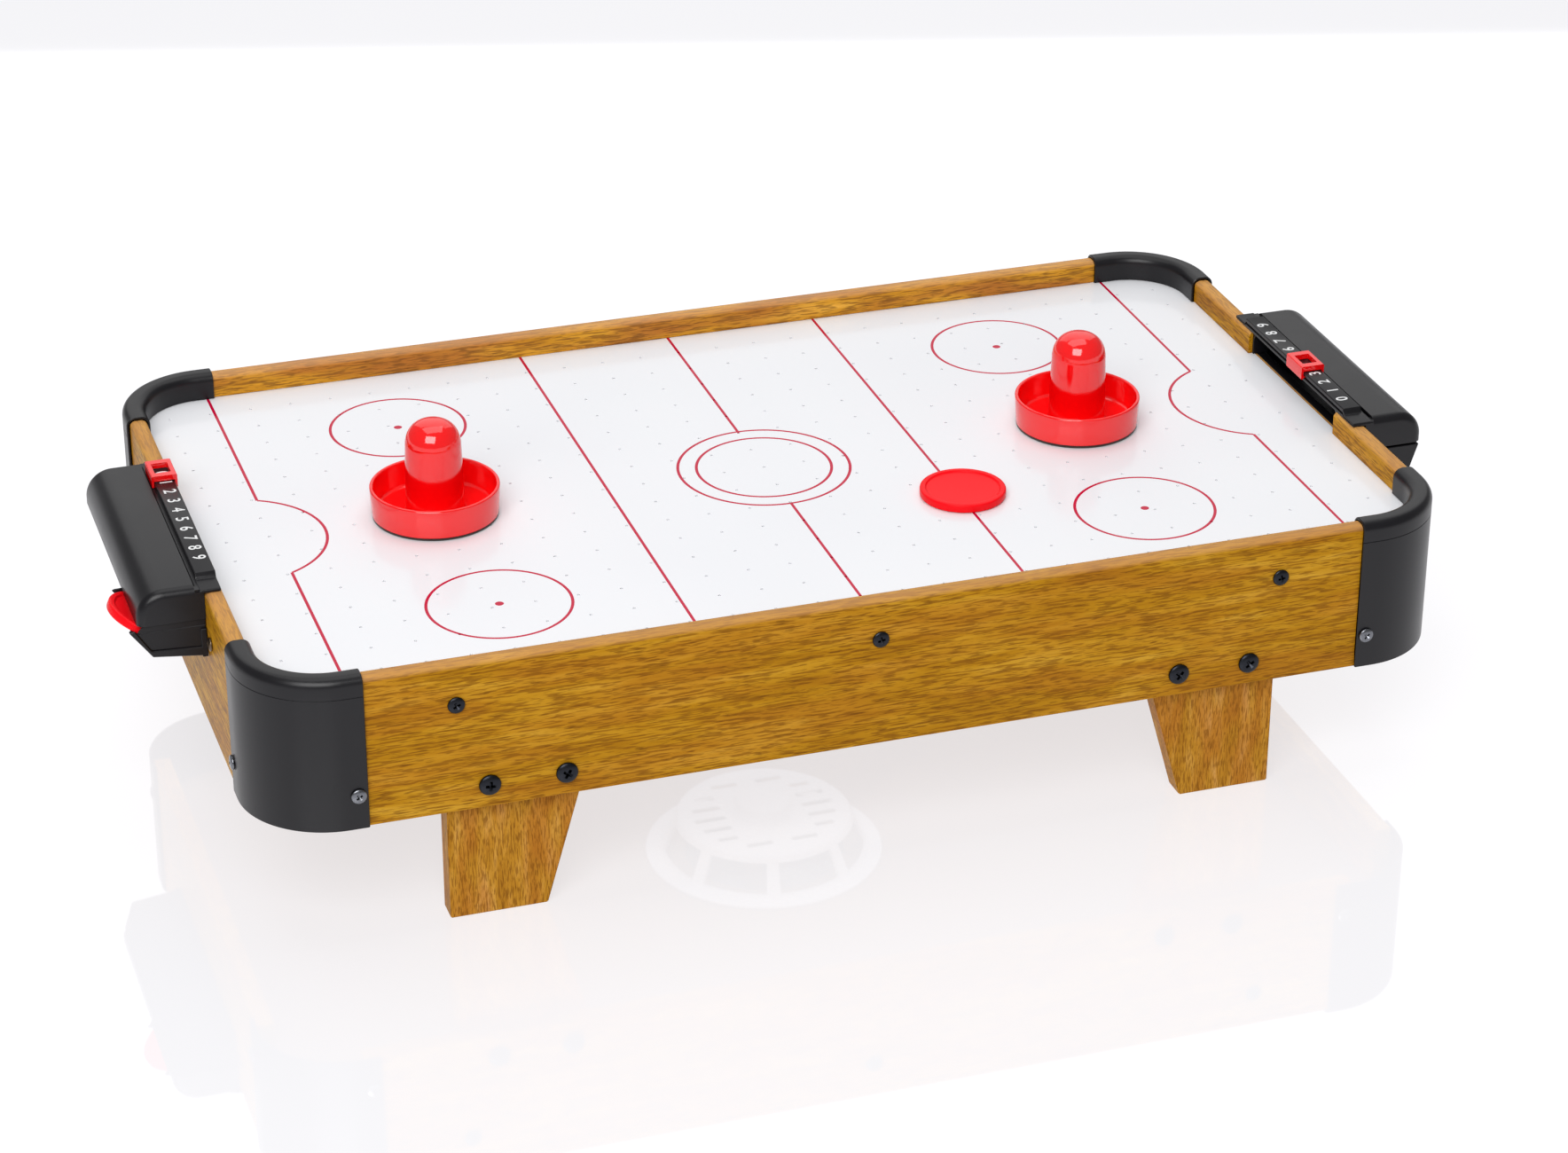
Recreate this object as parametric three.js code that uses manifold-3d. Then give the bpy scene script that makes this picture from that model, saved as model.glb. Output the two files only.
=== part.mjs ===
// Table-top air hockey table with a blown playing surface, built from separate pieces.
// Millimetres, +Z up, +X along the table, origin on the ground under the centre of the table.
import * as THREE from 'three';
import { mergeVertices } from 'three/addons/utils/BufferGeometryUtils.js';
import Module from 'manifold-3d';

const wasm = await Module();
wasm.setup();

// ---------------------------------------------------------------- driving dimensions
const GAP = 0.3; // clearance between pieces that touch
const FIELD_Z = 151; // playing surface above the ground
const FIELD_X = 343; // half length of the field between the end aprons
const FIELD_Y = 198.7; // half width of the field between the long aprons
const BOARD = 10.5; // apron board thickness
const BOARD_ROUND = 3.5; // rounding of an apron's top edges
const RAIL_TOP = FIELD_Z + 14.5;
const APRON_BOTTOM = FIELD_Z - 76.5;
const OUTER_X = FIELD_X + BOARD; // outer faces of the aprons
const OUTER_Y = FIELD_Y + BOARD;

const COVER_PROUD = 2; // how far a corner cover stands off the boards
const COVER_WALL = COVER_PROUD - GAP;
const COVER_LEG = 60.5; // from the boards' outer corner to a cover's seam
const COVER_OUTER_R = 52;
const COVER_INNER_R = 36;
const COVER_TOP_ROUND = 5.5;
const COVER_ARC_STEPS = 8; // facets round a cover's outer arc
const BOARD_END = 50.5; // from the boards' outer corner to a board's end, inside the cover

const GROOVE = 4.3; // depth of the grooves that hold the playfield and the bottom panel
const PANEL = 3; // thickness of both
const PLENUM_FLOOR_Z = 113.5; // underside of the bottom panel
const PANEL_REACH = 4; // how far both reach into the grooves

const CROSS_RAIL_X = 242.5; // outer cross rails, with a third at the middle
const CROSS_RAIL = { width: 18, height: 14 };
const RAIL_SCREW_Z = FIELD_Z - 10;

const LEG = { outer: 247.5, footInner: 191.5, slope: 0.287, thickness: 15 };
const LEG_BOLT_X = [181.8, 225.4];
const LEG_BOLT_Z = FIELD_Z - 62.5;

const UNIT_HALF = 85; // half length of a goal unit along Y
const GOAL_HALF = 62.5; // half width of the goal slot
const HOOD_TOP = FIELD_Z + 18;
const HOOD_BOTTOM = FIELD_Z - 2;
const HOOD_OUTER_X = 392;
const HOOD_R = 16;
const HOOD_WALL = 1.8;
const HOOD_END_R = 5; // rounding of a hood's end edges
const CHEEK_OUTER = GOAL_HALF - 0.4; // a cheek lines each side of the goal slot
const CHEEK_WALL = 1.5;
const SCALE_TOP = FIELD_Z + 20.5; // top of the score scale on the rail
const SCALE_INNER_X = 344.5;
const SCALE_OUTER_X = 356.2;
const SLIDER_SLOT_X = 358.9; // far side of the channel behind the scale
const DIGIT_PITCH = 12.9;
const SILL = { inner: 348.9, outer: 355, bottom: FIELD_Z - 2, top: FIELD_Z - 0.3 }; // black goal sill

const TRAY_WALL = 1.4;
const TRAY_FLANGE = 1.6;
// The trough's section, as (x, z): foot at the apron, outer corner, top of its wall, tip of the outlet.
const TRAY_FOOT = [OUTER_X + GAP, FIELD_Z - 24.9];
const TRAY_CORNER = [384.5, FIELD_Z - 21.2];
const TRAY_TOP = [390.2, FIELD_Z - 3.5];
const OUTLET_TIP = [396.9, FIELD_Z - 4.2];
const OUTLET_END = 83.3; // inner face of the outlet's end wall
const POCKET_TILT = THREE.MathUtils.degToRad(24); // slope of the puck that leans in the outlet
const POCKET_R = 25.8;

const PUCK = { radius: 25.5, height: 5 };
const MALLET = { radius: 38, height: 59.8, padHeight: 1.4 };

const FAN = {
  flange: 74, mouth: 66, face: 54, faceZ: 87, cup: 18, cupZ: 77, wall: 1.8,
  slotRows: [[0, 25, 45], [12.5, 25, 43], [25, 25, 37.5], [37, 6, 23]], // row's y, then a slot's ends
  slot: 3.2, ribs: 8, window: 38, // slot width, ribs of the open side wall, degrees between ribs
};
const SHAFT_R = 1.2;
const SHAFT_CLEARANCE = 0.08;

const X = new THREE.Vector3(1, 0, 0);
const Y = new THREE.Vector3(0, 1, 0);
const Z = new THREE.Vector3(0, 0, 1);

// ---------------------------------------------------------------- materials
const finish = (color, roughness, metalness = 0) =>
  new THREE.MeshStandardMaterial({ color, roughness, metalness });
const woodFoil = finish(0xb8862f, 0.45);
const endWood = finish(0xb07a2a, 0.45);
const rawBoard = finish(0x9a7b55, 0.8);
const blackSatin = finish(0x2b2c2f, 0.42);
const whiteGloss = finish(0xf3f4f6, 0.15);
const whiteSatin = finish(0xe9e9ea, 0.45);
const redGloss = finish(0xe3141e, 0.18);
const felt = finish(0x2a2320, 0.95);
const blackSteel = finish(0x17171a, 0.35, 0.6);
const zincSteel = finish(0xbfc3c8, 0.3, 0.9);

// ---------------------------------------------------------------- solids
// Every solid is a manifold; these helpers turn three.js geometry into one and back.
function solid(geometry) {
  const bare = geometry.index ? geometry.toNonIndexed() : geometry;
  bare.deleteAttribute('normal');
  bare.deleteAttribute('uv');
  const merged = mergeVertices(bare, 1e-4);
  return new wasm.Manifold(new wasm.Mesh({
    numProp: 3,
    vertProperties: new Float32Array(merged.attributes.position.array),
    triVerts: new Uint32Array(merged.index.array),
  }));
}

function geometryOf(manifold) {
  const mesh = manifold.getMesh();
  const geometry = new THREE.BufferGeometry();
  geometry.setAttribute('position', new THREE.BufferAttribute(new Float32Array(mesh.vertProperties), 3));
  geometry.setIndex(new THREE.BufferAttribute(new Uint32Array(mesh.triVerts), 1));
  return geometry;
}

const v2 = (x, y) => new THREE.Vector2(x, y);

function arc(cx, cy, radius, fromDeg, toDeg, steps) {
  return Array.from({ length: steps + 1 }, (_, i) => {
    const t = THREE.MathUtils.degToRad(fromDeg + ((toDeg - fromDeg) * i) / steps);
    return v2(cx + radius * Math.cos(t), cy + radius * Math.sin(t));
  });
}

// An outline in the XY plane, extruded from z0 to z1.
function prismZ(outline, z0, z1) {
  const geometry = new THREE.ExtrudeGeometry(new THREE.Shape(outline), {
    depth: z1 - z0, bevelEnabled: false, steps: 1,
  });
  return solid(geometry.translate(0, 0, z0));
}

// An outline in (y, z), extruded along X.
function prismX(outline, x0, x1) {
  const geometry = new THREE.ExtrudeGeometry(new THREE.Shape(outline), {
    depth: x1 - x0, bevelEnabled: false, steps: 1,
  });
  geometry.applyMatrix4(new THREE.Matrix4().makeBasis(Y, Z, X));
  return solid(geometry.translate(x0, 0, 0));
}

// An outline in (x, z), extruded along Y.
function prismY(outline, y0, y1) {
  const geometry = new THREE.ExtrudeGeometry(new THREE.Shape(outline), {
    depth: y1 - y0, bevelEnabled: false, steps: 1,
  });
  geometry.applyMatrix4(new THREE.Matrix4().makeBasis(X, Z, Y.clone().negate()));
  return solid(geometry.translate(0, y1, 0));
}

function box(low, high) {
  const size = high.map((v, i) => v - low[i]);
  const centre = high.map((v, i) => (v + low[i]) / 2);
  return solid(new THREE.BoxGeometry(...size).translate(...centre));
}

// A profile of (radius, z) pairs that starts and ends on the axis, turned about Z.
function turned(profile, segments) {
  const points = profile.map(([r, z]) => v2(r, z));
  return solid(new THREE.LatheGeometry(points, segments).rotateX(Math.PI / 2));
}

function rod(radius, z0, z1, segments = 12) {
  return solid(new THREE.CylinderGeometry(radius, radius, z1 - z0, segments)
    .rotateX(Math.PI / 2).translate(0, 0, (z0 + z1) / 2));
}

const rodAlong = (axis, radius, from, to, at, segments = 12) => {
  const shape = rod(radius, from, to, segments);
  const turnedRod = axis === 'x' ? shape.rotate([0, 90, 0]) : shape.rotate([-90, 0, 0]);
  return turnedRod.translate(at);
};

// A closed loft through rings of equal length; project flattens the end rings to cap them.
function loft(rings, project) {
  const count = rings[0].length;
  const positions = rings.flat(2);
  const index = [];
  for (let k = 0; k + 1 < rings.length; k += 1) {
    for (let i = 0; i < count; i += 1) {
      const a = k * count + i;
      const b = k * count + ((i + 1) % count);
      index.push(a, b, a + count, b, b + count, a + count);
    }
  }
  const last = (rings.length - 1) * count;
  const start = THREE.ShapeUtils.triangulateShape(rings[0].map(project), [])
    .flatMap(([a, b, c]) => [a, c, b]);
  const end = THREE.ShapeUtils.triangulateShape(rings.at(-1).map(project), [])
    .flatMap(([a, b, c]) => [last + a, last + b, last + c]);
  const geometry = new THREE.BufferGeometry();
  geometry.setAttribute('position', new THREE.Float32BufferAttribute(positions, 3));
  geometry.setIndex([...index, ...start, ...end]);
  return solid(geometry);
}

// A loft of (x, y) outlines stacked along Z; outlines run anticlockwise seen from above.
const loftZ = (levels) =>
  loft(levels.map(({ outline, z }) => outline.map((p) => [p.x, p.y, z])), (p) => v2(p[0], p[1]));

// A loft of (x, z) outlines stacked towards -Y; outlines run anticlockwise seen from -Y.
const loftY = (levels) =>
  loft(levels.map(({ outline, y }) => outline.map((p) => [p.x, y, p.y])), (p) => v2(p[0], p[2]));

const join = (...parts) => parts.reduce((a, b) => a.add(b));
const cut = (body, ...tools) => tools.reduce((a, b) => a.subtract(b), body);

const table = new THREE.Group();

function place(name, shape, material, position = [0, 0, 0], turnDeg = 0) {
  const mesh = new THREE.Mesh(geometryOf(shape), material);
  mesh.name = name;
  mesh.position.set(...position);
  mesh.rotation.z = THREE.MathUtils.degToRad(turnDeg);
  table.add(mesh);
  return mesh;
}

// ---------------------------------------------------------------- aprons
// A board lies along X with its inner face at y = 0 and its outer face at y = BOARD.
function boardProfile() {
  const grooveTop = FIELD_Z + GAP;
  const grooveBottom = FIELD_Z - PANEL - GAP;
  const lowTop = PLENUM_FLOOR_Z + PANEL + GAP;
  const lowBottom = PLENUM_FLOOR_Z - GAP;
  return [
    v2(0, APRON_BOTTOM), v2(BOARD, APRON_BOTTOM),
    ...arc(BOARD - BOARD_ROUND, RAIL_TOP - BOARD_ROUND, BOARD_ROUND, 0, 90, 3),
    ...arc(BOARD_ROUND, RAIL_TOP - BOARD_ROUND, BOARD_ROUND, 90, 180, 3),
    v2(0, grooveTop), v2(GROOVE, grooveTop), v2(GROOVE, grooveBottom), v2(0, grooveBottom),
    v2(0, lowTop), v2(GROOVE, lowTop), v2(GROOVE, lowBottom), v2(0, lowBottom),
  ];
}

const hole = (x, z, shank) => rodAlong('y', shank + GAP, -1, BOARD + 1, [x, 0, z]);

const SCREW = {
  rail: { head: 4.9, dome: 2.2, shank: 1.9, length: 21, material: blackSteel },
  leg: { head: 6.25, dome: 3, shank: 2.9, length: BOARD + LEG.thickness + 3, material: blackSteel },
  cover: { head: 4.4, dome: 2, shank: 1.7, length: 10, material: zincSteel },
  end: { head: 4, dome: 1.8, shank: 1.7, length: 9, material: zincSteel },
};
const COVER_SCREW_X = OUTER_X - 55;
const COVER_SCREW_Y = OUTER_Y - 55;
const COVER_SCREW_Z = FIELD_Z - 55.7;
const END_SCREW = { y: 96, z: FIELD_Z - 12.5 };
const SWITCH = { x: -120, z: 96, width: 34, height: 20, depth: 12 };

function longApron(withSwitch) {
  const half = OUTER_X - BOARD_END;
  let board = prismX(boardProfile(), -half, half);
  for (const side of [-1, 1]) {
    board = cut(
      board,
      ...LEG_BOLT_X.map((x) => hole(side * x, LEG_BOLT_Z, SCREW.leg.shank)),
      hole(side * CROSS_RAIL_X, RAIL_SCREW_Z, SCREW.rail.shank),
      hole(side * COVER_SCREW_X, COVER_SCREW_Z, SCREW.cover.shank),
    );
  }
  board = cut(board, hole(0, RAIL_SCREW_Z, SCREW.rail.shank));
  if (!withSwitch) return board;
  const w = SWITCH.width / 2 - 2 + GAP;
  const h = SWITCH.height / 2 - 2 + GAP;
  return cut(board, box([SWITCH.x - w, -1, SWITCH.z - h], [SWITCH.x + w, BOARD + 1, SWITCH.z + h]));
}

function endApron() {
  const half = OUTER_Y - BOARD_END;
  let board = prismX(boardProfile(), -half, half);
  for (const side of [-1, 1]) {
    board = cut(
      board,
      hole(side * COVER_SCREW_Y, COVER_SCREW_Z, SCREW.cover.shank),
      hole(side * END_SCREW.y, END_SCREW.z, SCREW.end.shank),
    );
  }
  return cut(
    board,
    box([-GOAL_HALF, -1, FIELD_Z - 0.2], [GOAL_HALF, BOARD + 1, RAIL_TOP + 1]),
    box([-GOAL_HALF, SILL.inner - FIELD_X - GAP, SILL.bottom - GAP], [GOAL_HALF, BOARD + 1, RAIL_TOP + 1]),
  );
}

place('long_apron_near', longApron(false), woodFoil, [0, -FIELD_Y, 0], 180);
place('long_apron_far', longApron(true), woodFoil, [0, FIELD_Y, 0], 0);
place('end_apron_left', endApron(), endWood, [-FIELD_X, 0, 0], 90);
place('end_apron_right', endApron(), endWood, [FIELD_X, 0, 0], -90);

// ---------------------------------------------------------------- corner covers
// Local frame: the boards' outer corner is the origin and the cover runs to -X and -Y.
function coverOutline(outerInset, innerInset, reach) {
  const outerR = COVER_OUTER_R - outerInset;
  const innerR = COVER_INNER_R + innerInset;
  const outerC = COVER_PROUD - COVER_OUTER_R;
  const innerC = -BOARD - COVER_PROUD - COVER_INNER_R;
  return [
    v2(outerC + outerR, -reach),
    ...arc(outerC, outerC, outerR, 0, 90, COVER_ARC_STEPS),
    v2(-reach, outerC + outerR),
    v2(-reach, innerC + innerR),
    ...arc(innerC, innerC, innerR, 90, 0, COVER_ARC_STEPS - 2),
    v2(innerC + innerR, -reach),
  ];
}

function roundedTop(outlineAt, bottom, top, radius, steps) {
  const levels = [{ outline: outlineAt(0), z: bottom }];
  for (let i = 0; i <= steps; i += 1) {
    const t = (Math.PI / 2) * (i / steps);
    levels.push({
      outline: outlineAt(radius * (1 - Math.cos(t))),
      z: top - radius + radius * Math.sin(t),
    });
  }
  return loftZ(levels);
}

function cornerCover() {
  const top = RAIL_TOP + COVER_PROUD;
  const shell = roundedTop((i) => coverOutline(i, i, COVER_LEG), APRON_BOTTOM, top, COVER_TOP_ROUND, 3);
  const cavity = roundedTop(
    (i) => coverOutline(COVER_WALL + i, COVER_WALL + i, COVER_LEG + 5),
    APRON_BOTTOM - 5, top - COVER_WALL, COVER_TOP_ROUND - COVER_WALL, 3,
  );
  const far = -COVER_LEG - 5;
  const outerC = COVER_PROUD - COVER_OUTER_R;
  const below = prismZ([
    v2(far, far), v2(GAP, far),
    ...arc(outerC, outerC, COVER_OUTER_R - COVER_WALL, 0, 90, COVER_ARC_STEPS),
    v2(far, GAP),
  ], APRON_BOTTOM - 5, FIELD_Z + GAP);
  const screwHole = SCREW.cover.shank + GAP;
  return cut(
    shell, cavity, below,
    rodAlong('y', screwHole, -2, 6, [-55, 0, COVER_SCREW_Z]),
    rodAlong('x', screwHole, -2, 6, [0, -55, COVER_SCREW_Z]),
  );
}

const corner = cornerCover();
place('corner_cover_far_right', corner, blackSatin, [OUTER_X, OUTER_Y, 0], 0);
place('corner_cover_far_left', corner, blackSatin, [-OUTER_X, OUTER_Y, 0], 90);
place('corner_cover_near_left', corner, blackSatin, [-OUTER_X, -OUTER_Y, 0], 180);
place('corner_cover_near_right', corner, blackSatin, [OUTER_X, -OUTER_Y, 0], 270);

// ---------------------------------------------------------------- playfield, bottom panel, cross rails
function panelOutline() {
  const x = FIELD_X + PANEL_REACH;
  const y = FIELD_Y + PANEL_REACH;
  const r = x - (OUTER_X + COVER_PROUD - COVER_OUTER_R);
  return [
    ...arc(x - r, y - r, r, 0, 90, 6), ...arc(r - x, y - r, r, 90, 180, 6),
    ...arc(r - x, r - y, r, 180, 270, 6), ...arc(x - r, r - y, r, 270, 360, 6),
  ];
}

place('playfield', prismZ(panelOutline(), FIELD_Z - PANEL, FIELD_Z), whiteGloss);
place('bottom_panel', cut(
  prismZ(panelOutline(), PLENUM_FLOOR_Z, PLENUM_FLOOR_Z + PANEL),
  rod(50, PLENUM_FLOOR_Z - 1, PLENUM_FLOOR_Z + PANEL + 1, 32),
), rawBoard);

function crossRail() {
  const half = CROSS_RAIL.width / 2;
  const top = FIELD_Z - PANEL - GAP;
  const end = FIELD_Y - GAP;
  const bar = box([-half, -end, top - CROSS_RAIL.height], [half, end, top]);
  const pilot = SCREW.rail.shank + GAP;
  return cut(
    bar,
    rodAlong('y', pilot, end - 14, end + 1, [0, 0, RAIL_SCREW_Z]),
    rodAlong('y', pilot, -end - 1, 14 - end, [0, 0, RAIL_SCREW_Z]),
  );
}

for (const [name, x] of [['left', -CROSS_RAIL_X], ['middle', 0], ['right', CROSS_RAIL_X]]) {
  place(`cross_rail_${name}`, crossRail(), rawBoard, [x, 0, 0]);
}

// ---------------------------------------------------------------- legs
function leg() {
  const top = PLENUM_FLOOR_Z - GAP;
  const board = prismY([
    v2(LEG.footInner, 0), v2(LEG.outer, 0), v2(LEG.outer, top), v2(LEG.footInner - LEG.slope * top, top),
  ], FIELD_Y - GAP - LEG.thickness, FIELD_Y - GAP);
  return cut(board, ...LEG_BOLT_X.map((x) =>
    rodAlong('y', SCREW.leg.shank + GAP, FIELD_Y - 30, FIELD_Y, [x, 0, LEG_BOLT_Z])));
}

const legBoard = leg();
const legMirrored = legBoard.mirror([1, 0, 0]);
place('leg_far_right', legBoard, woodFoil);
place('leg_far_left', legMirrored, woodFoil);
place('leg_near_left', legBoard, woodFoil, [0, 0, 0], 180);
place('leg_near_right', legMirrored, woodFoil, [0, 0, 0], 180);

// ---------------------------------------------------------------- fan
function fanHousing() {
  const { flange, mouth, face, faceZ, cup, cupZ, wall } = FAN;
  const top = PLENUM_FLOOR_Z - GAP;
  const shell = turned([
    [0, cupZ], [cup - 2, cupZ], [cup, cupZ + 2], [cup, faceZ], [face - 2, faceZ], [face, faceZ + 2],
    [mouth, top - wall], [flange, top - wall], [flange, top], [mouth - wall, top],
    [face - wall, faceZ + wall + 1], [face - wall - 1, faceZ + wall],
    [cup - wall, faceZ + wall], [cup - wall, cupZ + wall], [0, cupZ + wall],
  ], 28);
  const mirrored = (v) => (v === 0 ? [0] : [-v, v]);
  const slots = FAN.slotRows.flatMap(([row, from, to]) => mirrored(row).flatMap((y) =>
    [[-to, -from], [from, to]].map(([x0, x1]) =>
      box([x0, y - FAN.slot / 2, faceZ - 1], [x1, y + FAN.slot / 2, faceZ + wall + 0.5]))));
  const reach = flange + 5;
  const sector = [-1, 1].map((side) => THREE.MathUtils.degToRad(side * FAN.window / 2));
  const windowOutline = [
    ...sector.map((t) => v2(reach * Math.cos(t), reach * Math.sin(t))),
    ...sector.toReversed().map((t) => v2(45 * Math.cos(t), 45 * Math.sin(t))),
  ];
  const windows = Array.from({ length: FAN.ribs }, (_, i) =>
    prismZ(windowOutline, faceZ + 4, top - wall - 2).rotate([0, 0, (360 / FAN.ribs) * i + 10]));
  return cut(shell, ...slots, ...windows);
}

place('fan_housing', fanHousing(), whiteSatin);

const MOTOR = { bottom: FAN.cupZ + FAN.wall + GAP, top: 99 };
place('fan_motor', cut(
  turned([
    [0, MOTOR.bottom], [FAN.cup - FAN.wall - GAP, MOTOR.bottom], [FAN.cup - FAN.wall - GAP, MOTOR.top - 2],
    [FAN.cup - FAN.wall - 2, MOTOR.top], [0, MOTOR.top],
  ], 20),
  rod(SHAFT_R + SHAFT_CLEARANCE, MOTOR.top - 14, MOTOR.top + 1),
), zincSteel);

function impeller() {
  const hub = turned([[0, 100.5], [9, 100.5], [9, 111], [7, 112.5], [0, 112.5]], 14);
  const shaft = rod(SHAFT_R, MOTOR.top - 13, 101);
  let rotor = join(hub, shaft);
  const blades = 7;
  for (let i = 0; i < blades; i += 1) {
    const blade = box([6, -7, -0.7], [45, 7, 0.7]).rotate([38, 0, 0]).translate([0, 0, 106.5]);
    rotor = join(rotor, blade.rotate([0, 0, (360 / blades) * i]));
  }
  return rotor;
}

place('fan_impeller', impeller(), blackSatin);

// ---------------------------------------------------------------- power switch in the far apron
const ROCKER = { half: 7, height: 9, pivotDepth: 3, tilt: 8 };

function switchPlate() {
  const { width, height, depth } = SWITCH;
  const face = OUTER_Y + GAP;
  const flange = box([-width / 2, face, -height / 2], [width / 2, face + 1.8, height / 2]);
  const body = box([2 - width / 2, face - depth, 2 - height / 2], [width / 2 - 2, face + 0.5, height / 2 - 2]);
  const recess = box([-13.9, face - 6, -5], [1.9, face + 3, 5]);
  const jack = rodAlong('y', 5, face, face + 2.6, [9.5, 0, 0], 14);
  const socket = rodAlong('y', 3.3, face - 9, face + 4, [9.5, 0, 0], 12);
  return cut(join(flange, body, jack), recess, socket).translate([SWITCH.x, 0, SWITCH.z]);
}

function rocker() {
  const { half, height, pivotDepth, tilt } = ROCKER;
  const outline = [
    v2(-half, -2), v2(half, -2), v2(half, pivotDepth + 1.4), v2(0, pivotDepth + 0.4), v2(-half, pivotDepth + 1.4),
  ];
  return prismZ(outline, -height / 2, height / 2).rotate([0, 0, tilt])
    .translate([SWITCH.x - 6, OUTER_Y + GAP + 1.8 - pivotDepth, SWITCH.z]);
}

place('switch_plate', switchPlate(), blackSatin);
place('power_rocker', rocker(), redGloss);

// ---------------------------------------------------------------- goal units
// Modelled for the right end. The left unit is the same one turned by 180 degrees.
function hoodOutline(inset) {
  const centreX = HOOD_OUTER_X - HOOD_R;
  const centreZ = HOOD_TOP - HOOD_R;
  const inner = OUTER_X + GAP;
  return [
    v2(inner, HOOD_BOTTOM), v2(HOOD_OUTER_X - inset, HOOD_BOTTOM),
    ...arc(centreX, centreZ, HOOD_R - inset, 0, 90, 7),
    v2(SLIDER_SLOT_X, HOOD_TOP - inset), v2(SLIDER_SLOT_X, RAIL_TOP + 0.7), v2(inner, RAIL_TOP + 0.7),
  ];
}

function goalHood() {
  const ends = [0, 30, 60, 90].map((deg) => {
    const t = THREE.MathUtils.degToRad(deg);
    return [HOOD_END_R * (1 - Math.cos(t)), HOOD_END_R * (1 - Math.sin(t))];
  });
  const levels = [
    ...ends.map(([back, inset]) => ({ y: UNIT_HALF - back, outline: hoodOutline(inset) })),
    ...ends.toReversed().map(([back, inset]) => ({ y: back - UNIT_HALF, outline: hoodOutline(inset) })),
  ];
  const insideTop = HOOD_TOP - HOOD_WALL;
  const insideEnd = UNIT_HALF - HOOD_WALL - 1; // thicker end walls, behind their larger rounding
  const cavity = prismY([
    v2(OUTER_X - 5, HOOD_BOTTOM - 5), v2(HOOD_OUTER_X - HOOD_WALL, HOOD_BOTTOM - 5),
    ...arc(HOOD_OUTER_X - HOOD_R, HOOD_TOP - HOOD_R, HOOD_R - HOOD_WALL, 0, 90, 7),
    v2(OUTER_X - 5, insideTop),
  ], -insideEnd, insideEnd);
  const deflector = prismZ([
    v2(OUTER_X + 1, -66), v2(OUTER_X + 2.5, -67), v2(HOOD_OUTER_X - 1, -42), v2(HOOD_OUTER_X - 1, -40),
  ], HOOD_BOTTOM + 2, insideTop + 0.5).intersect(loftY(levels));
  const web = box([SCALE_INNER_X + 1, -UNIT_HALF, RAIL_TOP + GAP],
    [SLIDER_SLOT_X, UNIT_HALF, insideTop + GAP]);
  const webEdge = box([SLIDER_SLOT_X - 1, 5 - UNIT_HALF, RAIL_TOP + GAP],
    [SLIDER_SLOT_X + 2.5, UNIT_HALF - 5, insideTop + GAP]);
  const sill = box([SILL.inner, -CHEEK_OUTER, SILL.bottom], [SILL.outer, CHEEK_OUTER, SILL.top]);
  const cheeks = [-1, 1].flatMap((side) => {
    const ys = [side * CHEEK_OUTER, side * (CHEEK_OUTER - CHEEK_WALL)].sort((a, b) => a - b);
    return [
      box([SCALE_INNER_X + 1, ys[0], FIELD_Z + GAP], [OUTER_X + 2, ys[1], RAIL_TOP + 1]),
      box([SILL.inner, ys[0], SILL.bottom], [SILL.outer, ys[1], FIELD_Z + GAP + 1]),
    ];
  });
  return join(cut(loftY(levels), cavity), deflector, web, webEdge, sill, ...cheeks, scoreScale());
}

// The raised scale that the score slider clips over, with a groove along its inner face.
function scoreScale() {
  const bottom = RAIL_TOP + GAP;
  const height = SCALE_TOP - bottom;
  const outline = (rise) => [
    [SCALE_INNER_X, 0], [SCALE_OUTER_X, 0], [SCALE_OUTER_X, height - 0.7], [SCALE_OUTER_X - 0.7, height],
    [SCALE_INNER_X + 0.7, height], [SCALE_INNER_X, height - 0.7], [SCALE_INNER_X, 3.2],
    [SCALE_INNER_X + 1.1, 3.2], [SCALE_INNER_X + 1.1, 1.6], [SCALE_INNER_X, 1.6],
  ].map(([x, z]) => v2(x, bottom + z * rise));
  const end = UNIT_HALF + 1.5;
  // Each end runs out as a low saddle, and then steps up to the scale's full height.
  const ends = [[0, 0.15], [0.9, 0.36], [12.8, 0.38], [14.2, 0.65], [15, 1]];
  return loftY([
    ...ends.map(([back, rise]) => ({ y: end - back, outline: outline(rise) })),
    ...ends.toReversed().map(([back, rise]) => ({ y: back - end, outline: outline(rise) })),
  ]);
}

const SLIDER = {
  inner: SCALE_INNER_X - GAP - 1.4, outer: SCALE_OUTER_X + GAP + 1.4, leg: 1.4, length: 22, plate: 3.3,
  frame: 2.8, offset: 1.9, // its frame round the window, and how far it rests from its digit
};

function scoreSlider() {
  const { inner, outer, leg: wall, length, frame } = SLIDER;
  const plate = SCALE_TOP + GAP;
  const top = plate + SLIDER.plate;
  const groove = RAIL_TOP + GAP + 1.6;
  const foot = groove - 0.7;
  const hook = SCALE_INNER_X + 0.7;
  const clip = prismY([
    v2(inner, foot), v2(inner + wall, foot), v2(inner + wall, groove + GAP),
    v2(hook, groove + GAP), v2(hook, groove + 1.2), v2(inner + wall, groove + 1.2),
    v2(inner + wall, plate), v2(outer - wall, plate), v2(outer - wall, HOOD_TOP - 1),
    v2(outer, HOOD_TOP - 1), v2(outer, top), v2(inner, top),
  ], -length / 2, length / 2);
  const window = box([inner + frame, -6.5, plate - 1], [outer - frame, 6.5, top + 1]);
  return cut(clip, window);
}

// The pocket's frame: origin at the puck's centre, x up the slope and z away from its floor.
const POCKET = new THREE.Vector3(380.1, OUTLET_END - POCKET_R - 0.1, FIELD_Z - 10.4);
const toPocket = (shape) => shape.rotate([0, -THREE.MathUtils.radToDeg(POCKET_TILT), 0])
  .translate(POCKET.toArray());

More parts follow.
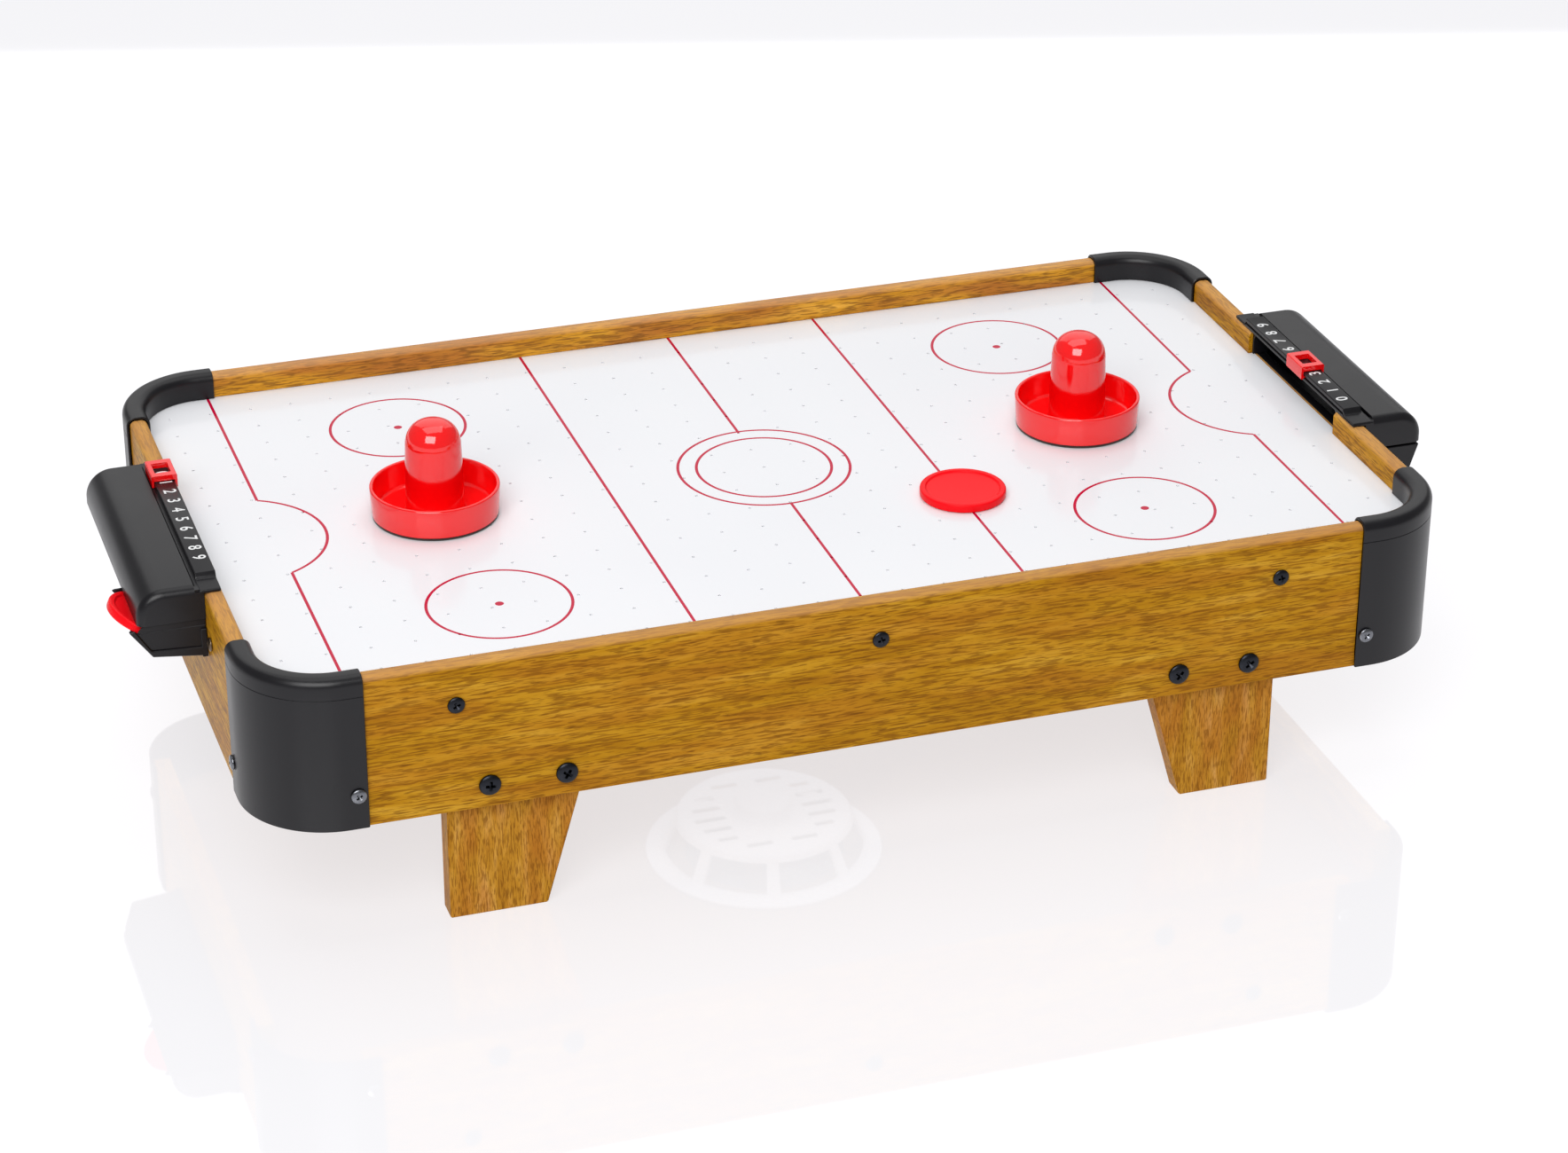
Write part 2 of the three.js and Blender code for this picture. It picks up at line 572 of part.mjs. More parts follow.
function returnTray() {
  const [footX, footZ] = TRAY_FOOT;
  const under = -PUCK.height / 2 - GAP; // the puck's clearance, below its centre
  const wingIn = POCKET.y - POCKET_R;
  const flangeTop = FIELD_Z - 8;
  const endTop = FIELD_Z - 6;
  const foot = v2(...TRAY_FOOT);
  const corner = v2(...TRAY_CORNER);
  const tip = v2(...OUTLET_TIP);
  const tipInside = v2(tip.x - 1.3, tip.y + 0.5);
  const inside = [v2(corner.x - 0.7, corner.y + TRAY_WALL), v2(footX, footZ + TRAY_WALL)];
  const flange = box([footX, -UNIT_HALF, footZ - 0.5], [footX + TRAY_FLANGE, UNIT_HALF, flangeTop]);
  const tabs = [-1, 1].map((side) => {
    const ys = [side * (UNIT_HALF - 1), side * (UNIT_HALF + 0.6)].sort((a, b) => a - b);
    return box([footX, ys[0], footZ - 0.5], [footX + 2 * TRAY_FLANGE, ys[1], flangeTop]);
  });
  const top = v2(...TRAY_TOP);
  const gutter = prismY([foot, corner, top, v2(top.x - 1.5, top.y), ...inside], -UNIT_HALF, wingIn);
  const closedEnd = prismY([foot, corner, top, v2(footX, top.y)], -UNIT_HALF, TRAY_WALL - UNIT_HALF);
  const outlet = prismY([foot, corner, tip, tipInside, ...inside], wingIn - 0.5, OUTLET_END + 1);
  const innerWing = prismY([corner, tip, tipInside, top, v2(top.x - 1.5, top.y), inside[0]],
    wingIn - 1.3, wingIn);
  const endWall = prismY([foot, corner, tip, tipInside, v2(tip.x - 6, endTop), v2(footX, endTop)],
    OUTLET_END, OUTLET_END + 1);
  const upstand = prismY([
    v2(footX, endTop - 3), v2(HOOD_OUTER_X, endTop - 3), v2(HOOD_OUTER_X, endTop + 1),
    v2(HOOD_OUTER_X - 2, HOOD_BOTTOM - 0.6), v2(footX, HOOD_BOTTOM - 0.6),
  ], OUTLET_END, OUTLET_END + 0.6);
  const rim = prismY([
    foot, corner, tip, v2(tip.x - 3.4, tip.y + 0.2), v2(corner.x + 0.4, corner.y + 3.8),
    v2(footX, footZ + 5.7),
  ], OUTLET_END, UNIT_HALF + 0.6);
  const clearance = toPocket(prismZ(
    [...arc(0, 0, POCKET_R, 90, 270, 12), v2(60, -POCKET_R), v2(60, POCKET_R)], under, 35,
  ));
  const body = join(flange, ...tabs, gutter, closedEnd, outlet, innerWing, endWall, upstand, rim);
  return cut(body, clearance);
}

const hood = goalHood();
const tray = returnTray();
const slider = scoreSlider();
const digitY = (digit) => (digit - 4.5) * DIGIT_PITCH;
const units = [
  { side: 'right', turn: 0, digit: 4 },
  { side: 'left', turn: 180, digit: 0 },
];
for (const { side, turn, digit } of units) {
  place(`goal_hood_${side}`, hood, blackSatin, [0, 0, 0], turn);
  place(`return_tray_${side}`, tray, blackSatin, [0, 0, 0], turn);
  const y = turn ? -digitY(digit) : digitY(digit);
  place(`score_slider_${side}`, slider, redGloss, [0, y + SLIDER.offset, 0], turn);
}

// ---------------------------------------------------------------- pucks
function puck() {
  const { radius, height } = PUCK;
  return turned([
    [0, 1], [radius - 4, 1], [radius - 3, 0], [radius - 0.6, 0], [radius, 0.6], [radius, height - 0.6],
    [radius - 0.6, height], [radius - 3, height], [radius - 4, height - 1], [0, height - 1],
  ], 24);
}

place('puck_in_play', puck(), redGloss, [99.7, -72, FIELD_Z + GAP]);
place('puck_spare', toPocket(puck().translate([0, 0, -PUCK.height / 2])), redGloss, [0, 0, 0], 180);

// ---------------------------------------------------------------- mallets
function malletBody() {
  const { radius, height, padHeight } = MALLET;
  const seat = padHeight + GAP;
  return turned([
    [0, seat], [radius - 0.9, seat], [radius, 18.3], [radius - 0.8, 19.5], [radius - 1.6, 19.3],
    [radius - 2.4, 17.8], [34.2, 5.6], [32.4, 3.3], [18.8, 3.3], [17.2, 4.6], [16.9, 28], [16.2, 47],
    [14.9, 52.8], [10.8, 57], [5.5, 59.2], [0, height],
  ], 28);
}

const malletPad = () => {
  const radius = MALLET.radius - 1.1;
  return turned([[0, GAP], [radius, GAP], [radius, MALLET.padHeight], [0, MALLET.padHeight]], 28);
};

for (const [side, x] of [['left', -201.4], ['right', 200.6]]) {
  place(`mallet_${side}`, malletBody(), redGloss, [x, 0, FIELD_Z]);
  place(`mallet_pad_${side}`, malletPad(), felt, [x, 0, FIELD_Z]);
}

// ---------------------------------------------------------------- screws and bolts
// A screw's seat is at y = 0, its domed head stands towards +Y and its shank runs to -Y.
function screwShape({ head, dome, shank, length }) {
  const along = turned([
    [0, -length], [shank, -length], [shank, 0], [head, 0], [head, dome * 0.35], [head * 0.6, dome * 0.9],
    [0, dome],
  ], 10);
  return along.rotate([-90, 0, 0]);
}

function placeScrew(name, kind, position, turnDeg) {
  place(name, screwShape(kind), kind.material, position, turnDeg);
}

const sides = [
  { name: 'far', turn: 0, sign: 1 },
  { name: 'near', turn: 180, sign: -1 },
];
for (const { name, turn, sign } of sides) {
  const seat = sign * (OUTER_Y + GAP);
  for (const [spot, x] of [['left', -CROSS_RAIL_X], ['middle', 0], ['right', CROSS_RAIL_X]]) {
    placeScrew(`rail_screw_${name}_${spot}`, SCREW.rail, [x, seat, RAIL_SCREW_Z], turn);
  }
  for (const [end, direction] of [['left', -1], ['right', 1]]) {
    LEG_BOLT_X.forEach((x, i) => placeScrew(
      `leg_bolt_${name}_${end}_${i + 1}`, SCREW.leg, [direction * x, seat, LEG_BOLT_Z], turn,
    ));
    placeScrew(`cover_screw_${name}_${end}_long`, SCREW.cover,
      [direction * COVER_SCREW_X, sign * (OUTER_Y + COVER_PROUD + GAP), COVER_SCREW_Z], turn);
  }
}
for (const [end, direction, turn] of [['left', -1, 90], ['right', 1, -90]]) {
  for (const { name, sign } of sides) {
    placeScrew(`cover_screw_${name}_${end}_end`, SCREW.cover,
      [direction * (OUTER_X + COVER_PROUD + GAP), sign * COVER_SCREW_Y, COVER_SCREW_Z], turn);
    placeScrew(`end_screw_${name}_${end}`, SCREW.end,
      [direction * (OUTER_X + GAP), sign * END_SCREW.y, END_SCREW.z], turn);
  }
}

export default table;
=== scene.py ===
"""Table-top air hockey table: the detailed pieces, materials, light and camera round the CAD frame.

Sizes are in millimetres in the frame's own axes: +X towards the right goal, +Y away from the
front, +Z up, with the origin on the ground under the centre of the field.
"""
import math
import random

import bmesh
import bpy
from mathutils import Matrix, Quaternion, Vector
from mathutils.geometry import delaunay_2d_cdt


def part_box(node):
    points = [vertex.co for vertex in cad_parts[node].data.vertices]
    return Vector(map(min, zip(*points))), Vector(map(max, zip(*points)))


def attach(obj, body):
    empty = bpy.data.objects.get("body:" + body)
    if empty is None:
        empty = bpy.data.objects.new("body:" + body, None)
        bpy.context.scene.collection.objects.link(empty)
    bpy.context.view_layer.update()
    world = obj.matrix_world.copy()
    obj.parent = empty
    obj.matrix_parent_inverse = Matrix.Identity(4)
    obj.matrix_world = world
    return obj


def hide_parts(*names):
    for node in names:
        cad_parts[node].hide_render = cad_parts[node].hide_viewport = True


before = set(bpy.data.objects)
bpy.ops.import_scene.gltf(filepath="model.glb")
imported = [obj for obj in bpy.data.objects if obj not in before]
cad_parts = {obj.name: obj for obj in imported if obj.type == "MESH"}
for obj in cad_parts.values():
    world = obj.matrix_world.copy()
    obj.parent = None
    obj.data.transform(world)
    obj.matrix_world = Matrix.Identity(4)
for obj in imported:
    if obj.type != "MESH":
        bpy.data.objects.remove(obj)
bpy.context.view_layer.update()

MM = 0.001


def low(node):
    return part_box(node)[0] / MM


def high(node):
    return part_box(node)[1] / MM


# ------------------------------------------------------------------ places taken from the frame
FIELD_Z = high("playfield").z
PANEL = high("playfield") - low("playfield")
OUTER = Vector((high("end_apron_right").x, high("long_apron_far").y))
BOARD = 10.5
RAIL_TOP = high("long_apron_near").z
APRON_BOTTOM = low("long_apron_near").z
HOOD_TOP = FIELD_Z + 18
SCALE_TOP = FIELD_Z + 20.5
UNIT_HALF = 85
SCALE_X = (344.5, 356.2)
CHANNEL_X = 358.9
HOOD_X = high("goal_hood_right").x
GOAL_HALF = 62.5
GAP = 0.3
PLATE_LIP = 2 - GAP


# ------------------------------------------------------------------ outlines
def arc(cx, cy, radius, start, end, steps):
    turn = [math.radians(start + (end - start) * i / steps) for i in range(steps + 1)]
    return [(cx + radius * math.cos(t), cy + radius * math.sin(t)) for t in turn]


def filleted(corners, steps=6):
    """A polygon of (x, y) or (x, y, radius) corners, with each given radius rounded off."""
    points = []
    for i, corner in enumerate(corners):
        here = Vector(corner[:2])
        radius = corner[2] if len(corner) > 2 else 0
        if not radius:
            points.append(tuple(here))
            continue
        before = (Vector(corners[i - 1][:2]) - here).normalized()
        after = (Vector(corners[(i + 1) % len(corners)][:2]) - here).normalized()
        half = before.angle(after) / 2
        centre = here + (before + after).normalized() * (radius / math.sin(half))
        first = here + before * (radius / math.tan(half)) - centre
        last = here + after * (radius / math.tan(half)) - centre
        sweep = first.angle_signed(last)
        for k in range(steps + 1):
            t = -sweep * k / steps
            points.append((
                centre.x + first.x * math.cos(t) - first.y * math.sin(t),
                centre.y + first.x * math.sin(t) + first.y * math.cos(t),
            ))
    return points


def curve_through(points, steps):
    """A Catmull-Rom curve through (x, y) points."""
    p = [Vector(q) for q in points]
    p = [p[0] * 2 - p[1], *p, p[-1] * 2 - p[-2]]
    made = []
    for a, b, c, d in zip(p, p[1:], p[2:], p[3:]):
        for k in range(steps):
            t = k / steps
            q = 0.5 * (2 * b + (c - a) * t + (2 * a - 5 * b + 4 * c - d) * t * t
                       + (3 * b - a - 3 * c + d) * t ** 3)
            made.append((q.x, q.y))
    return [*made, tuple(p[-2])]


# ------------------------------------------------------------------ solids, as bmesh in millimetres
def skin(rings):
    """A closed solid through rings of equal length, capped at both ends."""
    bm = bmesh.new()
    rows = [[bm.verts.new(p) for p in ring] for ring in rings]
    count = len(rows[0])
    for a, b in zip(rows, rows[1:]):
        for i in range(count):
            j = (i + 1) % count
            bm.faces.new((a[i], a[j], b[j], b[i]))
    bm.faces.new(rows[0][::-1])
    bm.faces.new(rows[-1])
    bmesh.ops.recalc_face_normals(bm, faces=bm.faces)
    return bm


def inset(outline, depth):
    """The outline moved inwards by depth, corner by corner."""
    area = sum(a[0] * b[1] - b[0] * a[1] for a, b in zip(outline, outline[1:] + outline[:1]))
    side = 1 if area > 0 else -1
    made = []
    for i, here in enumerate(outline):
        here = Vector(here)
        a = (here - Vector(outline[i - 1])).normalized()
        b = (Vector(outline[(i + 1) % len(outline)]) - here).normalized()
        normals = [Vector((-d.y, d.x)) * side for d in (a, b)]
        middle = (normals[0] + normals[1]).normalized()
        made.append(tuple(here + middle * depth / max(0.5, middle.dot(normals[0]))))
    return made


AXES = {
    "x": lambda u, v, w: (w, u, v),
    "y": lambda u, v, w: (u, w, v),
    "z": lambda u, v, w: (u, v, w),
}


def bar(outline, start, end, axis, bevel=0.0):
    """An outline extruded along an axis. Its end edges can be bevelled if its walls are thick enough."""
    place = AXES[axis]
    small = inset(outline, bevel) if bevel else outline
    stops = [(outline, start), (outline, end)]
    if bevel:
        stops = [(small, start), (outline, start + bevel), (outline, end - bevel), (small, end)]
    return skin([[place(u, v, w) for u, v in ring] for ring, w in stops])


def block(corner, opposite):
    (x0, y0, z0), (x1, y1, z1) = corner, opposite
    return bar([(x0, y0), (x1, y0), (x1, y1), (x0, y1)], z0, z1, "z")


def lathe(profile, segments=96):
    """A profile of (radius, z) that starts and ends on the axis, turned about Z."""
    bm = bmesh.new()
    rows = []
    for radius, z in profile:
        if radius < 1e-6:
            rows.append([bm.verts.new((0, 0, z))])
        else:
            turn = [math.tau * i / segments for i in range(segments)]
            rows.append([bm.verts.new((radius * math.cos(t), radius * math.sin(t), z)) for t in turn])
    for a, b in zip(rows, rows[1:]):
        for i in range(segments):
            j = (i + 1) % segments
            ring = [a[i % len(a)], a[j % len(a)], b[j % len(b)], b[i % len(b)]]
            unique = list(dict.fromkeys(ring))
            if len(unique) > 2:
                bm.faces.new(unique)
    bmesh.ops.recalc_face_normals(bm, faces=bm.faces)
    return bm


def moved(bm, x=0.0, y=0.0, z=0.0):
    bm.transform(Matrix.Translation((x, y, z)))
    return bm


def turned(bm, degrees, axis="Z"):
    bm.transform(Matrix.Rotation(math.radians(degrees), 4, axis))
    return bm


def as_object(bm, name="solid"):
    mesh = bpy.data.meshes.new(name)
    bm.to_mesh(mesh)
    bm.free()
    made = bpy.data.objects.new(name, mesh)
    bpy.context.scene.collection.objects.link(made)
    return made


def combined(base, others, operation):
    """base joined with or cut by each of the others."""
    first = as_object(base)
    tools = [as_object(bm) for bm in others]
    for tool in tools:
        modifier = first.modifiers.new(operation, "BOOLEAN")
        modifier.operation = operation
        modifier.solver = "EXACT"
        modifier.object = tool
    depsgraph = bpy.context.evaluated_depsgraph_get()
    result = bmesh.new()
    result.from_mesh(first.evaluated_get(depsgraph).to_mesh())
    for used in (first, *tools):
        bpy.data.meshes.remove(used.data)
    bmesh.ops.remove_doubles(result, verts=result.verts, dist=1e-4)
    return result


def cut(base, *tools):
    return combined(base, tools, "DIFFERENCE")


def join(base, *others):
    return combined(base, others, "UNION")


def loose(*parts):
    """Several separate solids in one mesh."""
    result = bmesh.new()
    for bm in parts:
        mesh = bpy.data.meshes.new("part")
        bm.to_mesh(mesh)
        bm.free()
        result.from_mesh(mesh)
        bpy.data.meshes.remove(mesh)
    return result


def from_node(node, bevel, segments=2):
    """A copy of a CAD node with its edges broken."""
    bm = bmesh.new()
    bm.from_mesh(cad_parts[node].data)
    bm.transform(Matrix.Scale(1 / MM, 4))
    bmesh.ops.remove_doubles(bm, verts=bm.verts, dist=1e-3)
    bmesh.ops.dissolve_limit(bm, angle_limit=math.radians(1), verts=bm.verts, edges=bm.edges)
    sharp = [e for e in bm.edges if e.is_manifold and e.calc_face_angle() > math.radians(40)]
    bmesh.ops.bevel(bm, geom=sharp, offset=bevel, segments=segments, affect="EDGES", clamp_overlap=True)
    return bm


def piece(name, bm, material, body, slot, stands_for=None, crease=32):
    """Makes a shown piece from a solid in millimetres, riding on a body and standing for a node."""
    bm.transform(Matrix.Scale(MM, 4))
    made = as_object(bm, name)
    made.data.materials.append(material)
    made.data.shade_smooth()
    made.data.set_sharp_from_angle(angle=math.radians(crease))
    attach(made, body)
    if stands_for:
        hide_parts(stands_for)


# ------------------------------------------------------------------ materials
class Shader:
    """A Principled material whose nodes are added one call at a time."""

    def __init__(self, name, **values):
        self.material = bpy.data.materials.new(name)
        self.material.use_nodes = True
        self.tree = self.material.node_tree
        self.principled = self.tree.nodes["Principled BSDF"]
        for key, value in values.items():
            self.set(key.replace("_", " "), value)

    def set(self, socket, value):
        found = next(s for s in self.principled.inputs if s.name.lower() == socket.lower())
        if isinstance(value, bpy.types.NodeSocket):
            self.tree.links.new(value, found)
        else:
            found.default_value = value

    def node(self, kind, inputs=(), output=0, **settings):
        made = self.tree.nodes.new(kind)
        for key, value in settings.items():
            setattr(made, key, value)
        for key, value in dict(inputs).items():
            if isinstance(value, bpy.types.NodeSocket):
                self.tree.links.new(value, made.inputs[key])
            else:
                made.inputs[key].default_value = value
        return made.outputs[output]

    def maths(self, operation, *values):
        return self.node("ShaderNodeMath", dict(enumerate(values)), operation=operation)

    def place(self, turn=(0, 0, 0), size=(1, 1, 1)):
        """The piece's own coordinates, turned and then divided by size in millimetres."""
        here = self.node("ShaderNodeTexCoord", output="Object")
        turned_to = self.node("ShaderNodeVectorRotate", {"Vector": here, "Rotation": turn},
                              rotation_type="EULER_XYZ")
        return self.node("ShaderNodeVectorMath", {0: turned_to, 1: [1 / (s * MM) for s in size]},
                         operation="MULTIPLY")

    def noise(self, vector, detail=2.0, roughness=0.5, distortion=0.0):
        return self.node("ShaderNodeTexNoise", {
            "Vector": vector, "Scale": 1.0, "Detail": detail, "Roughness": roughness,
            "Distortion": distortion,
        })

    def ramp(self, factor, stops):
        node = self.tree.nodes.new("ShaderNodeValToRGB")
        self.tree.links.new(factor, node.inputs[0])
        elements = node.color_ramp.elements
        while len(elements) < len(stops):
            elements.new(0.5)
        for element, (position, colour) in zip(elements, stops):
            element.position = position
            element.color = (*colour, 1) if len(colour) == 3 else colour
        return node.outputs[0]

    def between(self, factor, low_value, high_value):
        return self.node("ShaderNodeMapRange", {
            "Value": factor, "To Min": low_value, "To Max": high_value,
        })

    def blend(self, factor, first, second):
        node = self.tree.nodes.new("ShaderNodeMix")
        node.data_type = "RGBA"
        for socket, value in zip((node.inputs[0], node.inputs[6], node.inputs[7]), (factor, first, second)):
            if isinstance(value, bpy.types.NodeSocket):
                self.tree.links.new(value, socket)
            else:
                socket.default_value = value if socket is node.inputs[0] else (*value, 1)
        return node.outputs[2]

    def bump(self, height, distance):
        self.set("Normal", self.node("ShaderNodeBump", {
            "Height": height, "Distance": distance * MM, "Strength": 1.0,
        }))


def colour(red, green, blue):
    """An sRGB colour of 0 to 255 as the linear numbers that a shader takes."""
    def linear(c):
        c /= 255
        return c / 12.92 if c <= 0.04045 else ((c + 0.055) / 1.055) ** 2.4
    return tuple(linear(c) for c in (red, green, blue))


GRAIN_TURN = {
    "x": (0, 0, 0),
    "y": (0, 0, math.radians(-90)),
    "z": (0, math.radians(90), 0),
}


def oak_foil(name, grain, dash, warmth, tone_shift=(1, 1, 1), sheen=0.07):
    """Golden oak printed foil: short dark dashes, and a painted highlight that makes it paler where it faces
    up.
    """
    s = Shader(name, Roughness=0.42, Specular_IOR_Level=sheen)
    turn = GRAIN_TURN[grain]
    length, width = dash
    tone = s.noise(s.place(turn, (length * 5, width * 7, width * 7)), detail=2, distortion=0.4)
    patches = s.noise(s.place(turn, (length * 7, width * 14, width * 14)), detail=1)
    dashes = s.noise(s.place(turn, (length, width, width)), detail=1, roughness=0.4, distortion=0.25)
    pores = s.noise(s.place(turn, (length * 0.55, width * 0.5, width * 0.5)), detail=1, roughness=0.4)
    shades = ((0.32, (168, 114, 12)), (0.48, (182, 128, 18)), (0.62, (194, 141, 30)), (0.76, (206, 155, 46)))
    base = s.ramp(tone, [(at, tuple(c * k for c, k in zip(colour(*rgb), tone_shift))) for at, rgb in shades])
    base = s.blend(s.ramp(patches, [(0.44, (0, 0, 0)), (0.62, (warmth,) * 3)]), base, colour(176, 98, 36))
    base = s.blend(s.ramp(dashes, [(0.50, (0, 0, 0)), (0.60, (0.62, 0.62, 0.62))]),
                   base, colour(122, 72, 10))
    dark = s.ramp(pores, [(0.58, (0, 0, 0)), (0.68, (0.45, 0.45, 0.45))])
    base = s.blend(dark, base, colour(84, 44, 6))
    # Painted highlight: the foil is lightened where its normal points up, standing in for light falling on
    # the tops.
    upward = s.node("ShaderNodeSeparateXYZ", {0: s.node("ShaderNodeNewGeometry", output="Normal")}, output=2)
    painted_top_highlight = s.ramp(upward, [(0.1, (0, 0, 0)), (0.7, (0.42, 0.42, 0.42))])
    s.set("Base Color", s.blend(painted_top_highlight, base, colour(226, 172, 118)))
    s.bump(s.maths("ADD", s.maths("MULTIPLY", pores, -0.6), s.maths("MULTIPLY", dashes, -0.4)), 0.05)
    return s.material


def raw_board():
    """Bare fibreboard: a flat brown with fine flecks."""
    s = Shader("raw_board", Roughness=0.85)
    flecks = s.noise(s.place(size=(1.1, 1.1, 1.1)), detail=4, roughness=0.7)
    clouds = s.noise(s.place(size=(40, 40, 40)), detail=2)
    base = s.ramp(flecks, [(0.3, colour(121, 92, 62)), (0.5, colour(160, 126, 88)),
                           (0.7, colour(186, 154, 114))])
    s.set("Base Color", s.blend(s.between(clouds, 0, 0.35), base, colour(140, 106, 72)))
    s.bump(flecks, 0.15)
    return s.material


def moulded(name, base, roughness, grain_size, grain_depth, subsurface=0.0, specular=0.5):
    """Injection-moulded plastic: a fine texture, and gloss that drifts a little."""
    s = Shader(name, Specular_IOR_Level=specular)
    if subsurface:
        s.set("Subsurface Weight", subsurface)
        s.set("Subsurface Radius", (1.0, 0.12, 0.1))
        s.set("Subsurface Scale", 1.2 * MM)
    drift = s.noise(s.place(size=(28, 28, 28)), detail=2)
    fine = s.noise(s.place(size=(grain_size,) * 3), detail=2, roughness=0.6)
    lighter = tuple(min(1, c * 1.12 + 0.0012) for c in base)
    s.set("Base Color", s.blend(drift, base, lighter))
    s.set("Roughness", s.between(drift, roughness * 0.9, roughness * 1.12))
    s.bump(fine, grain_depth)
    return s.material


def printed_field():
    """White gloss board with the rink printed on it in thin crimson lines."""
    s = Shader("field_gloss", Roughness=0.14, Specular_IOR_Level=0.2)
    x, y, _ = (s.node("ShaderNodeSeparateXYZ", {0: s.place()}, output=i) for i in range(3))
    x, y = s.maths("ABSOLUTE", x), s.maths("ABSOLUTE", y)
    half = LINE_WIDTH / 2

    def away(cx, cy):
        squares = [s.maths("POWER", s.maths("SUBTRACT", v, c), 2.0) for v, c in ((x, cx), (y, cy))]
        return s.maths("SQRT", s.maths("ADD", *squares))

    def near(value, target):
        return s.maths("LESS_THAN", s.maths("ABSOLUTE", s.maths("SUBTRACT", value, target)), half)

    def both(a, b):
        return s.maths("MULTIPLY", a, b)

    spot = away(*SPOT)
    centre = away(0.0, 0.0)
    crease = away(END_LINE + CREASE["centre"], 0.0)
    marks = [
        s.maths("LESS_THAN", spot, SPOT_DOT), near(spot, SPOT_RING), near(x, ZONE_LINE),
        near(centre, CENTRE_RINGS[0]), near(centre, CENTRE_RINGS[1]),
        both(near(x, 0.0), s.maths("GREATER_THAN", centre, CENTRE_RINGS[0])),
        both(near(crease, CREASE["radius"]), s.maths("LESS_THAN", x, END_LINE)),
        both(near(x, END_LINE), s.maths("GREATER_THAN", y, CREASE["half_chord"])),
    ]
    ink = marks[0]
    for mark in marks[1:]:
        ink = s.maths("MAXIMUM", ink, mark)
    clouds = s.noise(s.place(size=(160, 160, 160)), detail=1)
    white = s.blend(clouds, colour(238, 239, 243), colour(246, 247, 250))
    s.set("Base Color", s.blend(ink, white, colour(200, 6, 58)))
    ripple = s.noise(s.place(size=(9, 9, 9)), detail=2)
    s.bump(ripple, 0.012)
    return s.material


def felt():
    s = Shader("felt", Roughness=0.95, Sheen_Weight=0.4, Sheen_Roughness=0.5)
    fuzz = s.noise(s.place(size=(0.5, 0.5, 0.25)), detail=4, roughness=0.75, distortion=1.2)
    s.set("Base Color", s.ramp(fuzz, [(0.35, colour(26, 20, 17)), (0.65, colour(66, 52, 44))]))
    s.bump(fuzz, 0.25)
    return s.material


def metal(name, base, roughness, scratch):
    s = Shader(name, Metallic=1.0)
    streaks = s.noise(s.place(size=(0.35, 2.5, 0.35)), detail=3, roughness=0.7)
    s.set("Base Color", s.blend(streaks, base, tuple(c * 0.72 for c in base)))
    s.set("Roughness", s.between(streaks, roughness * 0.75, roughness * 1.3))
    s.bump(streaks, scratch)
    return s.material


def white_print():
    s = Shader("digit_print", Roughness=0.5)
    mottle = s.noise(s.place(size=(0.8, 0.8, 0.8)), detail=3)
    s.set("Base Color", s.blend(mottle, colour(226, 228, 230), colour(250, 250, 250)))
    return s.material


LINE_WIDTH = 1.8
SPOT, SPOT_DOT, SPOT_RING = (195.0, 121.5), 2.5, 41.0
ZONE_LINE, END_LINE = 97.5, 297.2
CENTRE_RINGS = (51.5, 40.4)
CREASE = {"centre": 24.2, "radius": 54.2, "half_chord": 48.5}

OAK = {
    "x": oak_foil("oak_foil_x", "x", (12.0, 1.05), 0.22),
    "y": oak_foil("oak_foil_y", "y", (12.0, 1.05), 0.25, (1.22, 1.25, 1.2), 0.09),
    "z": oak_foil("oak_foil_z", "z", (7.0, 0.8), 0.4, (1.1, 1.1, 3.2)),
    # The far board's foil is a brightened copy with a paler base colour: painted light for the light its top
    # catches.
    "far": oak_foil("oak_foil_far_painted_bright", "x", (12.0, 1.05), 0.7, (1.45, 1.4, 1.8), 0.3),
}
RAW = raw_board()
BLACK = moulded("black_plastic", colour(17, 16, 20), 0.33, 0.55, 0.02, specular=0.38)
RED = moulded("red_gloss", colour(252, 3, 8), 0.09, 1.6, 0.002, subsurface=0.03, specular=0.95)
RED_DISC = moulded("red_disc", colour(255, 10, 24), 0.34, 1.6, 0.004, specular=0.12)
WHITE = moulded("white_plastic", colour(222, 222, 224), 0.45, 0.6, 0.02)
FIELD = printed_field()
FELT = felt()
BLACK_STEEL = metal("black_steel", colour(52, 54, 60), 0.32, 0.02)
ZINC = metal("zinc_steel", colour(132, 134, 140), 0.26, 0.02)
# The end screws' zinc is darker and bronze: partly the screws' own bronze tone, partly painted shade for the
# shadow they sit in beside the goal units.
BRONZE_SHADED_ZINC = metal("bronze_shaded_zinc_steel", colour(122, 104, 84), 0.34, 0.02)
PRINT = white_print()


# ------------------------------------------------------------------ aprons
BOARD_ROUND = 3.5
GROOVE_DEPTH, GROOVE_PLAY = 4.3, GAP
SILL = {"inner": 348.9, "outer": 355.0, "bottom": FIELD_Z - 2, "top": FIELD_Z - 0.3}


def board(half, goal=False):
    """A board along X with its inner face at y = 0, grooved for the field and the bottom panel."""
    outline = [(0, APRON_BOTTOM, 0.7), (BOARD, APRON_BOTTOM, 0.7),
               (BOARD, RAIL_TOP, BOARD_ROUND), (0, RAIL_TOP, BOARD_ROUND)]
    for node in ("playfield", "bottom_panel"):
        top, bottom = high(node).z + GROOVE_PLAY, low(node).z - GROOVE_PLAY
        outline += [(0, top), (GROOVE_DEPTH, top), (GROOVE_DEPTH, bottom), (0, bottom)]
    bm = bar(filleted(outline, 8), -half, half, "x")
    if goal:
        notch = block((-GOAL_HALF, -1, FIELD_Z - 0.2), (GOAL_HALF, BOARD + 1, RAIL_TOP + 1))
        seat = block((-GOAL_HALF, SILL["inner"] - 0.3 - (OUTER.x - BOARD), SILL["bottom"] - 0.3),
                     (GOAL_HALF, BOARD + 1, RAIL_TOP + 1))
        bm = cut(bm, notch, seat)
    return bm


